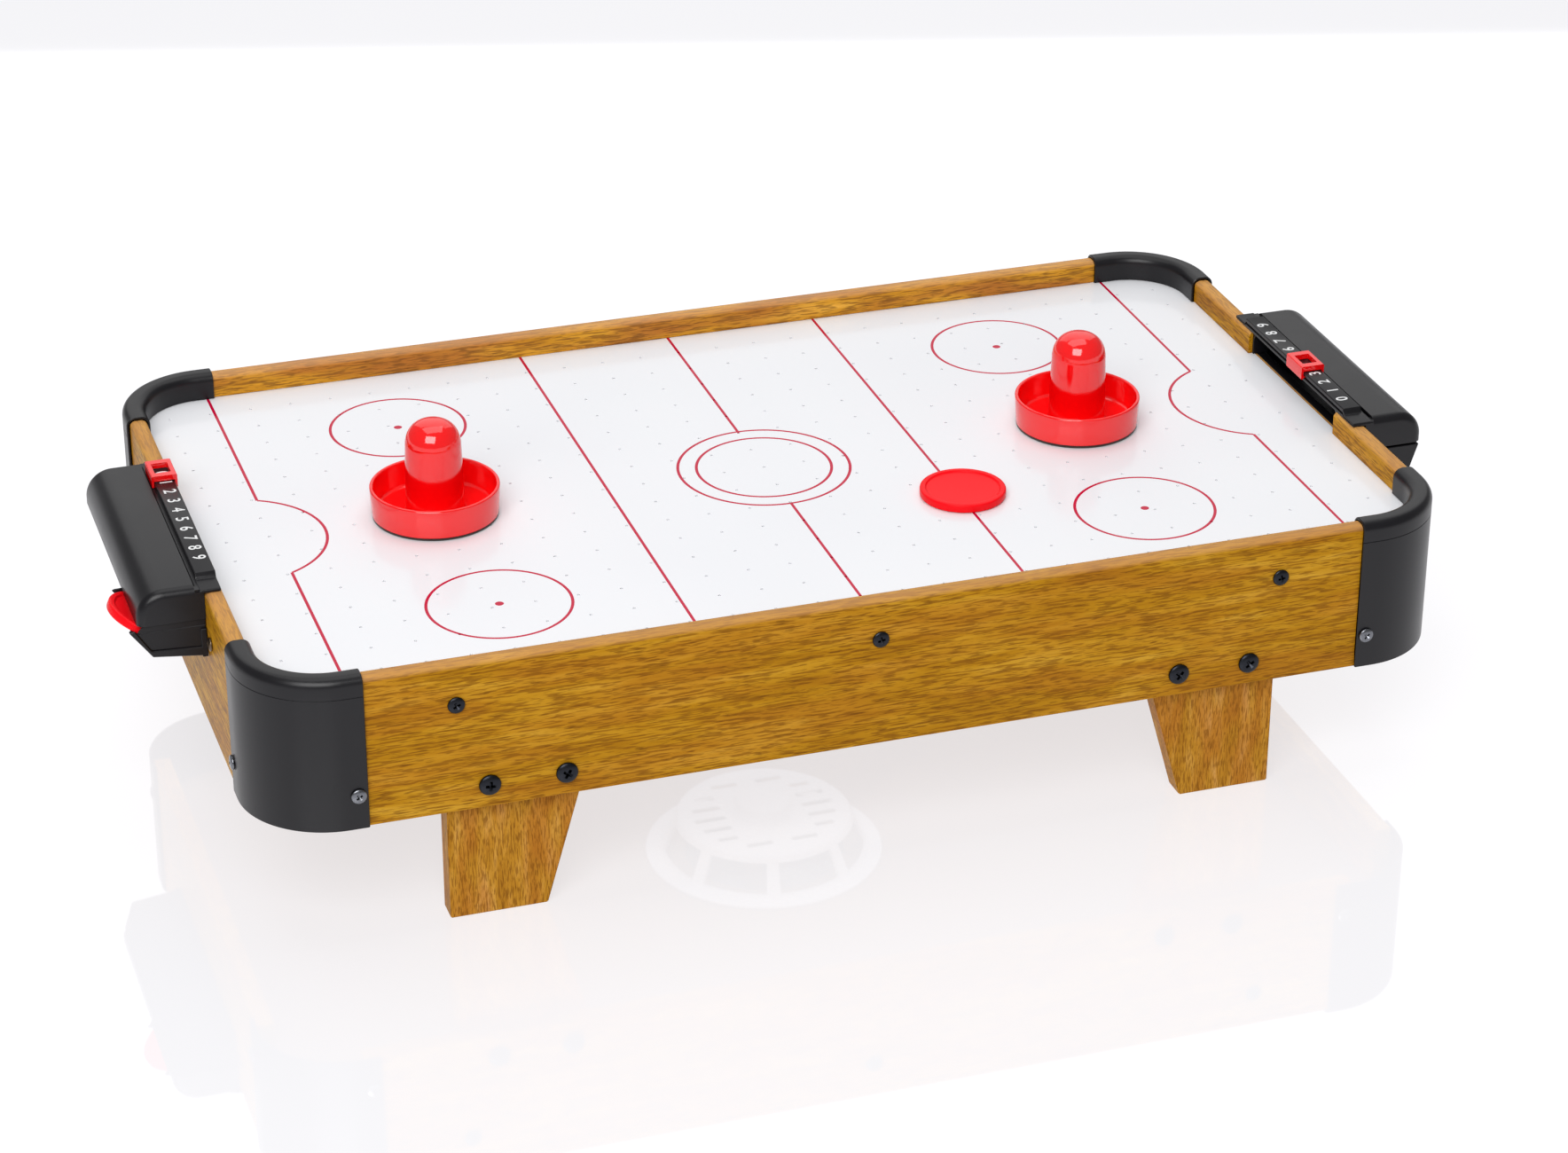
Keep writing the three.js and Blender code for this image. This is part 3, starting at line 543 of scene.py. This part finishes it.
for node, turn in (("long_apron_near", 180), ("long_apron_far", 0)):
    bm = turned(board(high(node).x), turn)
    side = 1 if turn == 0 else -1
    bm = moved(bm, y=side * (OUTER.y - BOARD))
    if side > 0:
        corner, opposite = low("switch_plate"), high("switch_plate")
        bm = cut(bm, block((corner.x + PLATE_LIP, OUTER.y - BOARD - 1, corner.z + PLATE_LIP),
                           (opposite.x - PLATE_LIP, OUTER.y + 1, opposite.z - PLATE_LIP)))
    # The far board takes the brightened foil copy, which carries painted light.
    foil = OAK["far" if side > 0 else "x"]
    piece(node + "_board", bm, foil, "table", "oak_foil", node)
for node, turn in (("end_apron_left", 90), ("end_apron_right", -90)):
    bm = turned(board(high(node).y, goal=True), turn)
    side = -1 if turn == 90 else 1
    piece(node + "_board", moved(bm, x=side * (OUTER.x - BOARD)), OAK["y"], "table", "oak_foil", node)


# ------------------------------------------------------------------ corner covers
COVER = {
    "proud": 2.0, "wall": 1.7, "reach": 60.5, "outer_r": 52.0, "inner_r": 36.0, "round": 5.5,
    "parting": 12.0, "edge": 0.45,
}


def cover_section():
    """(distance in from the outer face, z) all round the wall of a cover."""
    c = COVER
    width = BOARD + 2 * c["proud"]
    top = RAIL_TOP + c["proud"]
    line = top - c["parting"]
    under = FIELD_Z + 0.3
    wall, r, e = c["wall"], c["round"], c["edge"]
    return filleted([
        (0, APRON_BOTTOM, e), (0, line - 0.25), (0.3, line), (0, line + 0.25),
        (0, top, r), (width, top, r), (width, under, e), (width - wall, under, e),
        (width - wall, top - wall, r - wall), (wall, top - wall, r - wall), (wall, APRON_BOTTOM, e),
    ], 8)


def corner_cover():
    """The boards' outer corner is the origin, and the cover runs to -X and -Y."""
    c = COVER
    section = cover_section()
    width = BOARD + 2 * c["proud"]
    outer_c, inner_c = c["proud"] - c["outer_r"], c["proud"] - width - c["inner_r"]
    outer = arc(outer_c, outer_c, c["outer_r"], 0, 90, 28)
    inner = arc(inner_c, inner_c, c["inner_r"], 0, 90, 28)

    def ring(a, b, shape):
        a, b = Vector(a), Vector(b)
        return [(*(a + (b - a) * (u / width)), z) for u, z in shape]

    small = inset(section, c["edge"])
    reach, near_end = -c["reach"], -c["reach"] + c["edge"]
    edge_a = c["proud"], c["proud"] - width
    rings = [
        ring((edge_a[0], reach), (edge_a[1], reach), small),
        ring((edge_a[0], near_end), (edge_a[1], near_end), section),
        *[ring(a, b, section) for a, b in zip(outer, inner)],
        ring((near_end, edge_a[0]), (near_end, edge_a[1]), section),
        ring((reach, edge_a[0]), (reach, edge_a[1]), small),
    ]
    return skin(rings)


for name, turn, sx, sy in (("far_right", 0, 1, 1), ("far_left", 90, -1, 1),
                           ("near_left", 180, -1, -1), ("near_right", 270, 1, -1)):
    bm = moved(turned(corner_cover(), turn), sx * OUTER.x, sy * OUTER.y)
    piece(f"cover_{name}", bm, BLACK, "table", "black_plastic", f"corner_cover_{name}")


# ------------------------------------------------------------------ playfield and its holes
HOLE = {"pitch": 25.0, "columns": 13, "rows": 7, "radius": 0.92, "sides": 12}


def playfield():
    """The board with its air holes cut right through."""
    x, y = PANEL.x / 2, PANEL.y / 2
    r = x - (OUTER.x + COVER["proud"] - COVER["outer_r"])
    outline = [
        *arc(x - r, y - r, r, 0, 90, 12), *arc(r - x, y - r, r, 90, 180, 12),
        *arc(r - x, r - y, r, 180, 270, 12), *arc(x - r, r - y, r, 270, 360, 12),
    ]
    holes = [
        arc(i * HOLE["pitch"], j * HOLE["pitch"], HOLE["radius"], 0, 360, HOLE["sides"])[:-1]
        for i in range(-HOLE["columns"], HOLE["columns"] + 1)
        for j in range(-HOLE["rows"], HOLE["rows"] + 1)
    ]
    points, loops = [], []
    for loop in (outline, *holes):
        loops.append(list(range(len(points), len(points) + len(loop))))
        points += [Vector(p) for p in loop]
    flat, _, triangles, _, _, origins = delaunay_2d_cdt(points, [], loops, 1, 1e-5)
    kept = [t for t, origin in zip(triangles, origins) if origin == [0]]
    bm = bmesh.new()
    top = [bm.verts.new((p.x, p.y, FIELD_Z)) for p in flat]
    bottom = [bm.verts.new((p.x, p.y, FIELD_Z - PANEL.z)) for p in flat]
    for triangle in kept:
        bm.faces.new([top[i] for i in triangle])
        bm.faces.new([bottom[i] for i in reversed(triangle)])
    for loop in loops:
        for a, b in zip(loop, loop[1:] + loop[:1]):
            bm.faces.new((top[a], top[b], bottom[b], bottom[a]))
    bmesh.ops.recalc_face_normals(bm, faces=bm.faces)
    return bm


piece("playfield_board", playfield(), FIELD, "table", "field_gloss", "playfield")


# ------------------------------------------------------------------ hidden boards and legs
for node in ("bottom_panel", "cross_rail_left", "cross_rail_middle", "cross_rail_right"):
    piece(node + "_board", from_node(node, 0.4), RAW, "table", "raw_board", node)
for spot in ("far_right", "far_left", "near_left", "near_right"):
    piece(f"leg_{spot}_board", from_node(f"leg_{spot}", 0.7, 3), OAK["z"], "table", "oak_foil", f"leg_{spot}")


# ------------------------------------------------------------------ goal units
# Both are the same moulding. It is built for the right end and turned by 180 degrees for the left.
HOOD = {"inner": OUTER.x + GAP, "round": 16.0, "wall": 1.8, "end_round": 5.2, "bottom": FIELD_Z - 2}


def hood():
    h = HOOD
    inner, bottom = h["inner"], h["bottom"]
    floor = RAIL_TOP + 0.7

    def outline(depth):
        centre = HOOD_X - h["round"], HOOD_TOP - h["round"]
        return [
            (inner, bottom), (HOOD_X - depth, bottom),
            *arc(*centre, h["round"] - depth, 0, 90, 16),
            (CHANNEL_X, HOOD_TOP - depth), (CHANNEL_X, floor), (inner, floor),
        ]

    r = h["end_round"]
    steps = [math.radians(90 * k / 8) for k in range(9)]
    stops = [(UNIT_HALF - r + r * math.sin(t), r * (1 - math.cos(t))) for t in steps]
    stops = [(-y, depth) for y, depth in reversed(stops)] + stops
    shell = skin([[(x, y, z) for x, z in outline(depth)] for y, depth in stops])
    wall = h["wall"]
    room = bar([
        (inner - 5, bottom - 5), (HOOD_X - wall, bottom - 5),
        *arc(HOOD_X - h["round"], HOOD_TOP - h["round"], h["round"] - wall, 0, 90, 16),
        (inner - 5, HOOD_TOP - wall),
    ], wall + 1 - UNIT_HALF, UNIT_HALF - wall - 1, "y")
    return cut(shell, room)


def scale():
    """The raised strip that the slider clips over, with a low saddle at each end."""
    x0, x1 = SCALE_X
    bottom = RAIL_TOP + GAP
    height = SCALE_TOP - bottom
    shape = filleted([
        (x0, 0), (x1, 0), (x1, height, 0.7), (x0, height, 0.7), (x0, 3.2, 0.2),
        (x0 + 1.1, 3.2), (x0 + 1.1, 1.6), (x0, 1.6, 0.2),
    ], 4)
    end = UNIT_HALF + 1.5
    ends = [(0, 0.12), (0.2, 0.24), (0.6, 0.31), (1.2, 0.345), (12.7, 0.365), (13.3, 0.39), (13.9, 0.47),
            (14.4, 0.63), (14.8, 0.84), (15.1, 0.96), (15.5, 1)]
    stops = [(back - end, rise) for back, rise in ends]
    stops += [(-y, rise) for y, rise in reversed(stops)]
    return skin([[(x, y, bottom + z * rise) for x, z in shape] for y, rise in stops])


def goal_mouth():
    """Cheeks and sill of the opening, the web over it and the wall that turns a puck to the outlet."""
    top = RAIL_TOP + 0.3
    web_top = HOOD_TOP - HOOD["wall"] + 0.3
    x0, x1 = SCALE_X[0] + 1, HOOD["inner"] + 1.7
    end, edge_end = UNIT_HALF - 0.4, UNIT_HALF - HOOD["end_round"]
    parts = [
        bar(filleted([(x0, -end, 0.3), (CHANNEL_X, -end), (CHANNEL_X, end), (x0, end, 0.3)]),
            top, web_top, "z"),
        block((CHANNEL_X - 1, -edge_end, top), (CHANNEL_X + 2.5, edge_end, web_top)),
        bar(filleted([(SILL["inner"], SILL["bottom"]), (SILL["outer"], SILL["bottom"]),
                      (SILL["outer"], SILL["top"], 0.4), (SILL["inner"], SILL["top"], 0.4)], 3),
            0.4 - GOAL_HALF, GOAL_HALF - 0.4, "y"),
    ]
    for side in (-1, 1):
        inner, outer = side * (GOAL_HALF - 1.9), side * (GOAL_HALF - 0.4)
        corner = 6.0
        foot = FIELD_Z + 0.3
        inside = inner - side * corner
        curve = [(inside + side * corner * math.cos(math.radians(a)),
                  top - corner + corner * math.sin(math.radians(a))) for a in range(0, 91, 15)]
        parts.append(bar([(outer, foot), (inner, foot), *curve, (inside, top + 0.5), (outer, top + 0.5)],
                         x0, x1, "x", 0.25))
    deflector = bar([
        (OUTER.x + 1, -66), (OUTER.x + 2.5, -67), (HOOD_X - 2.2, -42), (HOOD_X - 2.2, -40),
    ], HOOD["bottom"] + 2, HOOD_TOP - HOOD["wall"] - 6, "z")
    return loose(*parts, deflector)


TRAY = {
    "foot": (HOOD["inner"], FIELD_Z - 24.9), "corner": (384.5, FIELD_Z - 21.2),
    "top": (390.2, FIELD_Z - 3.5), "tip": (396.9, FIELD_Z - 4.2),
    "wall": 1.4, "flange": 1.6, "flange_top": FIELD_Z - 8, "end_wall": 83.3, "end_top": FIELD_Z - 6,
}
POCKET = {"radius": 25.8, "tilt": 24.0}
POCKET["centre"] = (380.1, TRAY["end_wall"] - POCKET["radius"] - 0.1, FIELD_Z - 10.4)


def to_pocket(bm):
    return moved(turned(bm, -POCKET["tilt"], "Y"), *POCKET["centre"])


def tray():
    """A sloping trough under the hood whose outlet flares out for the puck to lean on."""
    t, r = TRAY, POCKET["radius"]
    foot, corner, top, tip = t["foot"], t["corner"], t["top"], t["tip"]
    base = foot[0] + 0.2
    end = t["end_wall"]
    wing_y = POCKET["centre"][1] - r
    under = -(high("puck_in_play").z - low("puck_in_play").z) / 2 - GAP
    inside = [(corner[0] - 0.7, corner[1] + t["wall"], 1.0), (base, foot[1] + t["wall"])]
    low_edge, high_edge = foot[1] - 0.5, t["flange_top"]

    def plate(width, start, stop):
        return bar(filleted([(foot[0], low_edge, 0.2), (foot[0] + width, low_edge, 0.5),
                             (foot[0] + width, high_edge, 0.5), (foot[0], high_edge, 0.2)]),
                   start, stop, "y", 0.3)

    tip_in = (tip[0] - 1.3, tip[1] + 0.5, 0.5)
    top_in = (top[0] - 1.5, top[1])
    rounded = (*corner, 1.2)
    gutter = bar(filleted([(base, foot[1]), rounded, top, top_in, *inside]), 0.3 - UNIT_HALF, wing_y, "y")
    closed_end = bar(filleted([(base, foot[1]), rounded, top, (base, top[1])]),
                     -UNIT_HALF, t["wall"] - UNIT_HALF, "y", 0.3)
    outlet = bar(filleted([(base, foot[1]), rounded, (*tip, 0.5), tip_in, *inside]),
                 wing_y - 0.5, end + 1, "y")
    inner_wing = bar([corner, tip, tip_in[:2], top, top_in, inside[0][:2]], wing_y - 1.3, wing_y, "y")
    end_wall = bar(filleted([(base, foot[1]), rounded, (*tip, 0.5), tip_in, (tip[0] - 6, t["end_top"], 2),
                             (base, t["end_top"])]), end, end + 1, "y", 0.4)
    rim = bar(filleted([(base, foot[1]), rounded, (*tip, 0.6), (tip[0] - 3.4, tip[1] + 0.2, 0.6),
                        (corner[0] + 0.4, corner[1] + 3.8, 2), (base, foot[1] + 5.7)]),
              end + 0.5, UNIT_HALF + 0.6, "y", 0.5)
    lip = UNIT_HALF + 0.6
    low_z, high_z, outer_x = t["end_top"] - 3, HOOD["bottom"] - 0.7, HOOD_X - 0.2
    upstand = bar([(base, low_z), (outer_x, low_z), (outer_x, low_z + 4), (outer_x - 2, high_z),
                   (base, high_z)], end, end + 0.6, "y")
    body = join(plate(t["flange"], -UNIT_HALF, UNIT_HALF), plate(2 * t["flange"], -lip, 1 - UNIT_HALF),
                plate(2 * t["flange"], UNIT_HALF - 1, lip), gutter, closed_end, outlet,
                inner_wing, end_wall, upstand, rim)
    reach = 60
    clearance = bar([*arc(0, 0, r, 90, 270, 36), (reach, -r), (reach, r)], under, 35, "z")
    return cut(body, to_pocket(clearance))


SLIDER = {"overhang": 1.7, "leg": 1.4, "length": 22.0, "plate": 3.3, "frame": 2.8, "window": 13.0}


def slider():
    """A window frame that clips over the scale: one leg in the groove, one in the channel."""
    s = SLIDER
    plate = SCALE_TOP + GAP
    top = plate + s["plate"]
    groove = RAIL_TOP + GAP + 1.6
    wall, x0, x1 = s["leg"], SCALE_X[0] - s["overhang"], SCALE_X[1] + s["overhang"]
    foot, hook = groove - 0.7, SCALE_X[0] + 0.7
    clip = bar(filleted([
        (x0, foot, 0.4), (x0 + wall, foot, 0.3), (x0 + wall, groove + 0.3), (hook, groove + 0.3),
        (hook, groove + 1.2), (x0 + wall, groove + 1.2), (x0 + wall, plate), (x1 - wall, plate),
        (x1 - wall, HOOD_TOP - 1, 0.3), (x1, HOOD_TOP - 1, 0.3), (x1, top, 0.8), (x0, top, 0.8),
    ]), -s["length"] / 2, s["length"] / 2, "y")
    a, b, c = x0 + s["frame"], x1 - s["frame"], s["window"] / 2
    window = bar(filleted([(a, -c, 0.6), (b, -c, 0.6), (b, c, 0.6), (a, c, 0.6)]), plate - 1, top + 1, "z")
    return cut(clip, window)


DIGIT_SIZE = 10.4
# The left scale's numbers sit a little tighter, and further back, than the right's.
DIGITS = {"right": {"pitch": 12.9, "shift": 0.0}, "left": {"pitch": 12.57, "shift": -3.2}}


def digits(turn, pitch, shift):
    """The score numbers, printed a hair above the scale, as one mesh."""
    bm = bmesh.new()
    for value in range(10):
        text = bpy.data.curves.new("digit", "FONT")
        text.body = str(value)
        text.size = DIGIT_SIZE
        text.align_x = "CENTER"
        text.align_y = "CENTER"
        text.offset = 0.12
        text.extrude = 0.03
        holder = bpy.data.objects.new("digit", text)
        mesh = holder.to_mesh().copy()
        bpy.data.objects.remove(holder)
        middle = sum(SCALE_X) / 2, (value - 4.5) * pitch + shift, SCALE_TOP + 0.05
        mesh.transform(Matrix.Translation(middle) @ Matrix.Rotation(math.radians(90), 4, "Z"))
        bm.from_mesh(mesh)
        bpy.data.meshes.remove(mesh)
    return turned(bm, turn)


for side, turn in (("right", 0), ("left", 180)):
    unit = f"goal_hood_{side}"
    piece(f"hood_{side}", turned(hood(), turn), BLACK, "table", "black_plastic", unit)
    piece(f"score_scale_{side}", turned(scale(), turn), BLACK, "table", "black_plastic", unit)
    piece(f"goal_mouth_{side}", turned(goal_mouth(), turn), BLACK, "table", "black_plastic", unit)
    piece(f"score_digits_{side}", digits(turn, **DIGITS[side]), PRINT, "table", "field_gloss")
    piece(f"tray_{side}", turned(tray(), turn), BLACK, "table", "black_plastic", f"return_tray_{side}")
    node = f"score_slider_{side}"
    middle = (low(node).y + high(node).y) / 2
    piece(f"slider_{side}", moved(turned(slider(), turn), y=middle), RED, node, "red_gloss", node)


# ------------------------------------------------------------------ mallets and pucks
MALLET = {"radius": 38.0, "height": 59.8, "pad": 1.4, "pad_radius": 36.9}


def mallet_profile():
    m = MALLET
    dish = filleted([(35.55, 18.35), (34.7, 3.5, 2.4), (17.2, 3.5, 1.8), (16.9, 28), (16.35, 45)], 6)
    knob = curve_through([(16.3, 46.5), (15.5, 50.2), (13.9, 53.6), (11.3, 56.6), (7.6, 58.8), (3.4, 59.65),
                          (0, m["height"])], 6)
    rim = arc(m["radius"] - 1.15, 18.35, 1.15, 0, 180, 10)
    foot = filleted([(0, 1.7), (m["radius"] - 0.9, 1.7, 0.6), (m["radius"], 18.35), (0, 18.35)], 4)[:-2]
    return [*foot, *rim, *dish[1:], *knob]


def mallet_pad():
    r, top = MALLET["pad_radius"], MALLET["pad"]
    return lathe([(0, 0.3), *arc(r - 0.4, 0.7, 0.4, -90, 0, 4), *arc(r - 0.3, top - 0.3, 0.3, 0, 90, 3),
                  (0, top)])


def puck():
    r, h = 25.5, 5.0
    half = filleted([(0, 1), (r - 4, 1, 0.6), (r - 3.2, 0, 0.5), (r, 0, 1.1), (r, h / 2), (0, h / 2)], 5)[:-2]
    return lathe([*half, *[(x, h - z) for x, z in reversed(half)]])


for side in ("left", "right"):
    node = f"mallet_{side}"
    centre = (low(node) + high(node)) / 2
    piece(f"striker_{side}", moved(lathe(mallet_profile(), 128), centre.x, centre.y, FIELD_Z), RED,
          node, "red_gloss", node, crease=13)
    pad = f"mallet_pad_{side}"
    piece(f"striker_pad_{side}", moved(mallet_pad(), centre.x, centre.y, FIELD_Z), FELT,
          node, "felt", pad)

centre = (low("puck_in_play") + high("puck_in_play")) / 2
piece("disc_in_play", moved(puck(), centre.x, centre.y, low("puck_in_play").z), RED_DISC,
      "puck_in_play", "red_gloss", "puck_in_play")
spare = turned(to_pocket(moved(puck(), z=-2.5)), 180)
piece("disc_spare", spare, RED_DISC, "puck_spare", "red_gloss", "puck_spare")


# ------------------------------------------------------------------ screws
SCREWS = {
    "rail_screw": {"head": 4.9, "dome": 2.2, "shank": 1.9, "length": 21.0, "steel": BLACK_STEEL,
                   "slot": "black_steel"},
    "leg_bolt": {"head": 6.25, "dome": 3.0, "shank": 2.9, "length": 28.5, "steel": BLACK_STEEL,
                 "slot": "black_steel"},
    "cover_screw": {"head": 4.4, "dome": 2.0, "shank": 1.7, "length": 10.0, "steel": ZINC,
                    "slot": "zinc_steel"},
    # End screws use the darker bronze zinc, which is partly painted shade.
    "end_screw": {"head": 4.0, "dome": 1.8, "shank": 1.7, "length": 9.0, "steel": BRONZE_SHADED_ZINC,
                  "slot": "zinc_steel"},
}


def screw(kind):
    """A domed head with a cross recess. The seat is at z = 0 and the head stands towards +Z."""
    k = SCREWS[kind]
    head, dome, shank, length = k["head"], k["dome"], k["shank"], k["length"]
    curve = [(head * math.cos(math.radians(a)), dome * (0.3 + 0.7 * math.sin(math.radians(a))))
             for a in range(0, 90, 9)]
    body = lathe([(0, -length), (shank * 0.5, -length), (shank, -length + 2.5), (shank, 0), (head - 0.3, 0),
                  (head, 0.3), *curve, (0, dome)], 40)
    arm, wide, deep = head * 0.52, head * 0.15, dome * 0.75
    arms = []
    for a, b in ((arm, wide), (wide, arm)):
        stops = ((0.35, dome - deep), (1.12, dome + 0.5))
        arms.append(skin([[(x * f, y * f, z) for x, y in ((-a, -b), (a, -b), (a, b), (-a, b))]
                          for f, z in stops]))
    return cut(body, *arms)


spin = random.Random(7)
for node in sorted(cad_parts):
    kind = next((k for k in SCREWS if node.startswith(k)), None)
    if not kind:
        continue
    corner, opposite = low(node), high(node)
    centre = (corner + opposite) / 2
    along_y = (opposite - corner).y > (opposite - corner).x
    axis = 1 if along_y else 0
    outward = Vector((0, 0, 0))
    outward[axis] = math.copysign(1, centre[axis])
    tip = opposite if centre[axis] > 0 else corner
    seat = centre.copy()
    seat[axis] = tip[axis] - outward[axis] * SCREWS[kind]["dome"]
    bm = turned(screw(kind), spin.uniform(0, 90))
    bm.transform(Matrix.Translation(seat) @ outward.to_track_quat("Z", "Y").to_matrix().to_4x4())
    piece(node + "_head", bm, SCREWS[kind]["steel"], "table", SCREWS[kind]["slot"], node)


# ------------------------------------------------------------------ fan
FAN = {
    "flange": 74.0, "mouth": 66.0, "face": 54.0, "cup": 18.0, "wall": 1.8,
    "rows": ((0, 25, 45), (12.5, 25, 43), (25, 25, 37.5), (37, 6, 23)), "slot": 4.6, "skin": 0.8,
    "ribs": 8, "window": 38.0,
}


def fan_housing():
    f = FAN
    bottom = low("fan_housing").z
    top = high("fan_housing").z
    face = bottom + 10
    w = f["wall"]
    shell = lathe(filleted([
        (0, bottom), (f["cup"], bottom, 1.5), (f["cup"], face, 0.8), (f["face"], face, 3),
        (f["mouth"], top - w, 1), (f["flange"], top - w, 0.5), (f["flange"], top, 0.5),
        (f["mouth"] - w, top, 0.5), (f["face"] - w, face + f["skin"], 2),
        (f["cup"] - w, face + f["skin"], 0.5), (f["cup"] - w, bottom + w, 0.5), (0, bottom + w),
    ], 4), 120)
    half = f["slot"] / 2
    slots = []
    for row, start, stop in f["rows"]:
        for y in {row, -row}:
            for x0, x1 in ((-stop, -start), (start, stop)):
                outline = filleted([(x0, y - half, 1.2), (x1, y - half, 1.2), (x1, y + half, 1.2),
                                    (x0, y + half, 1.2)], 4)
                slots.append(bar(outline, face - 1, face + w + 0.5, "z"))
    reach, turn = f["flange"] + 5, f["window"] / 2 - 0.3
    for i in range(f["ribs"]):
        outline = [*arc(0, 0, reach, -turn, turn, 6), *arc(0, 0, 45.5, turn, -turn, 6)]
        slots.append(turned(bar(outline, face + 4.2, top - w - 2.2, "z"), 360 / f["ribs"] * i + 10))
    return cut(shell, *slots)


def impeller():
    low_z, high_z = 100.5, high("fan_impeller").z
    hub = lathe(filleted([(0, low_z), (9, low_z, 0.8), (9, high_z, 2), (0, high_z)], 5), 48)
    shaft_end, shaft_top = low("fan_impeller").z, low_z + 0.5
    shaft = lathe([(0, shaft_end), (1.2, shaft_end), (1.2, shaft_top), (0, shaft_top)], 20)
    blades = []
    for i in range(7):
        rings = []
        for k in range(9):
            r = 6 + 39 * k / 8
            pitch = math.radians(48 - 16 * k / 8)
            chord = 7 + 1.0 * math.sin(math.pi * k / 8)
            chord -= 2.5 if k == 8 else 0
            section = [(-chord, 0), (-chord * 0.5, -0.55), (0, -0.7), (chord * 0.6, -0.5), (chord, 0),
                       (chord * 0.6, 0.6), (0, 0.8), (-chord * 0.5, 0.6)]
            rings.append([(r, u * math.cos(pitch) - v * math.sin(pitch),
                           106.5 + u * math.sin(pitch) + v * math.cos(pitch)) for u, v in section])
        blades.append(turned(skin(rings), 360 / 7 * i))
    return loose(hub, shaft, *blades)


def motor():
    bottom, top = low("fan_motor").z, high("fan_motor").z
    r = high("fan_motor").x
    return lathe(filleted([
        (0, bottom), (r, bottom, 0.8), (r, bottom + 4), (r - 0.5, bottom + 4.3), (r - 0.5, top - 6),
        (r, top - 5.7), (r, top, 1.8), (4.5, top), (4.5, top + 0.9, 0.3), (1.4, top + 0.9),
        (1.4, top - 14), (0, top - 14),
    ], 4), 64)


piece("fan_grille", fan_housing(), WHITE, "table", "white_plastic", "fan_housing")
piece("fan_rotor_wheel", impeller(), BLACK, "fan_rotor", "black_plastic", "fan_impeller")
piece("motor_can", motor(), ZINC, "table", "zinc_steel", "fan_motor")
piece("switch_frame", from_node("switch_plate", 0.35), BLACK, "table", "black_plastic", "switch_plate")
piece("rocker", from_node("power_rocker", 0.5, 3), RED, "power_rocker", "red_gloss", "power_rocker")


# ------------------------------------------------------------------ floor, light, camera
FLOOR_HALF = 12
LIT = (0, 0, 0.1)
LIGHTS = {
    "key": {"position": (-1.3, -2.3, 2.4), "width": 2.4, "depth": 2.0, "power": 80},
    "overhead": {"position": (0.0, 0.3, 2.3), "width": 2.2, "depth": 1.5, "power": 15},
    "back": {"position": (0.9, 3.2, 2.7), "width": 5.6, "depth": 3.8, "power": 50},
}


def studio_floor():
    """A glossy floor, pale enough to come out white, that mirrors the table faintly."""
    s = Shader("floor", Roughness=0.03, Specular_IOR_Level=1.0)
    s.set("Base Color", (0.3, 0.3, 0.305, 1))
    s.set("Emission Color", (0.975, 0.97, 1, 1))
    s.set("Emission Strength", 0.69)
    bm = bmesh.new()
    bmesh.ops.create_grid(bm, x_segments=2, y_segments=2, size=FLOOR_HALF)
    bm.transform(Matrix.Translation((0, 0, -0.0002)))
    made = as_object(bm, "floor")
    made.data.materials.append(s.material)


def area_light(name, position, width, depth, power):
    data = bpy.data.lights.new(name, "AREA")
    data.shape = "RECTANGLE"
    data.size, data.size_y = width, depth
    data.energy = power
    made = bpy.data.objects.new(name, data)
    made.location = position
    made.rotation_euler = (Vector(LIT) - Vector(position)).to_track_quat("-Z", "Y").to_euler()
    bpy.context.scene.collection.objects.link(made)


CAMERA = {
    "position": (-678.4, -2084.3, 1208.7), "target": (-33.4, -139.3, 151.0), "lens": 93.5, "roll": 0.163,
}


def camera():
    data = bpy.data.cameras.new("camera")
    data.lens = CAMERA["lens"]
    data.sensor_width = 36
    made = bpy.data.objects.new("camera", data)
    position, target = Vector(CAMERA["position"]) * MM, Vector(CAMERA["target"]) * MM
    look = (target - position).to_track_quat("-Z", "Y")
    made.rotation_mode = "QUATERNION"
    made.rotation_quaternion = look @ Quaternion((0, 0, 1), math.radians(CAMERA["roll"]))
    made.location = position
    bpy.context.scene.collection.objects.link(made)
    bpy.context.scene.camera = made


studio_floor()
camera()
for name, light in LIGHTS.items():
    area_light(name, **light)

scene = bpy.context.scene
world = bpy.data.worlds.new("studio")
world.use_nodes = True
world.node_tree.nodes["Background"].inputs["Color"].default_value = (1, 1, 1, 1)
world.node_tree.nodes["Background"].inputs["Strength"].default_value = 0.25
scene.world = world
scene.view_settings.view_transform = "Standard"
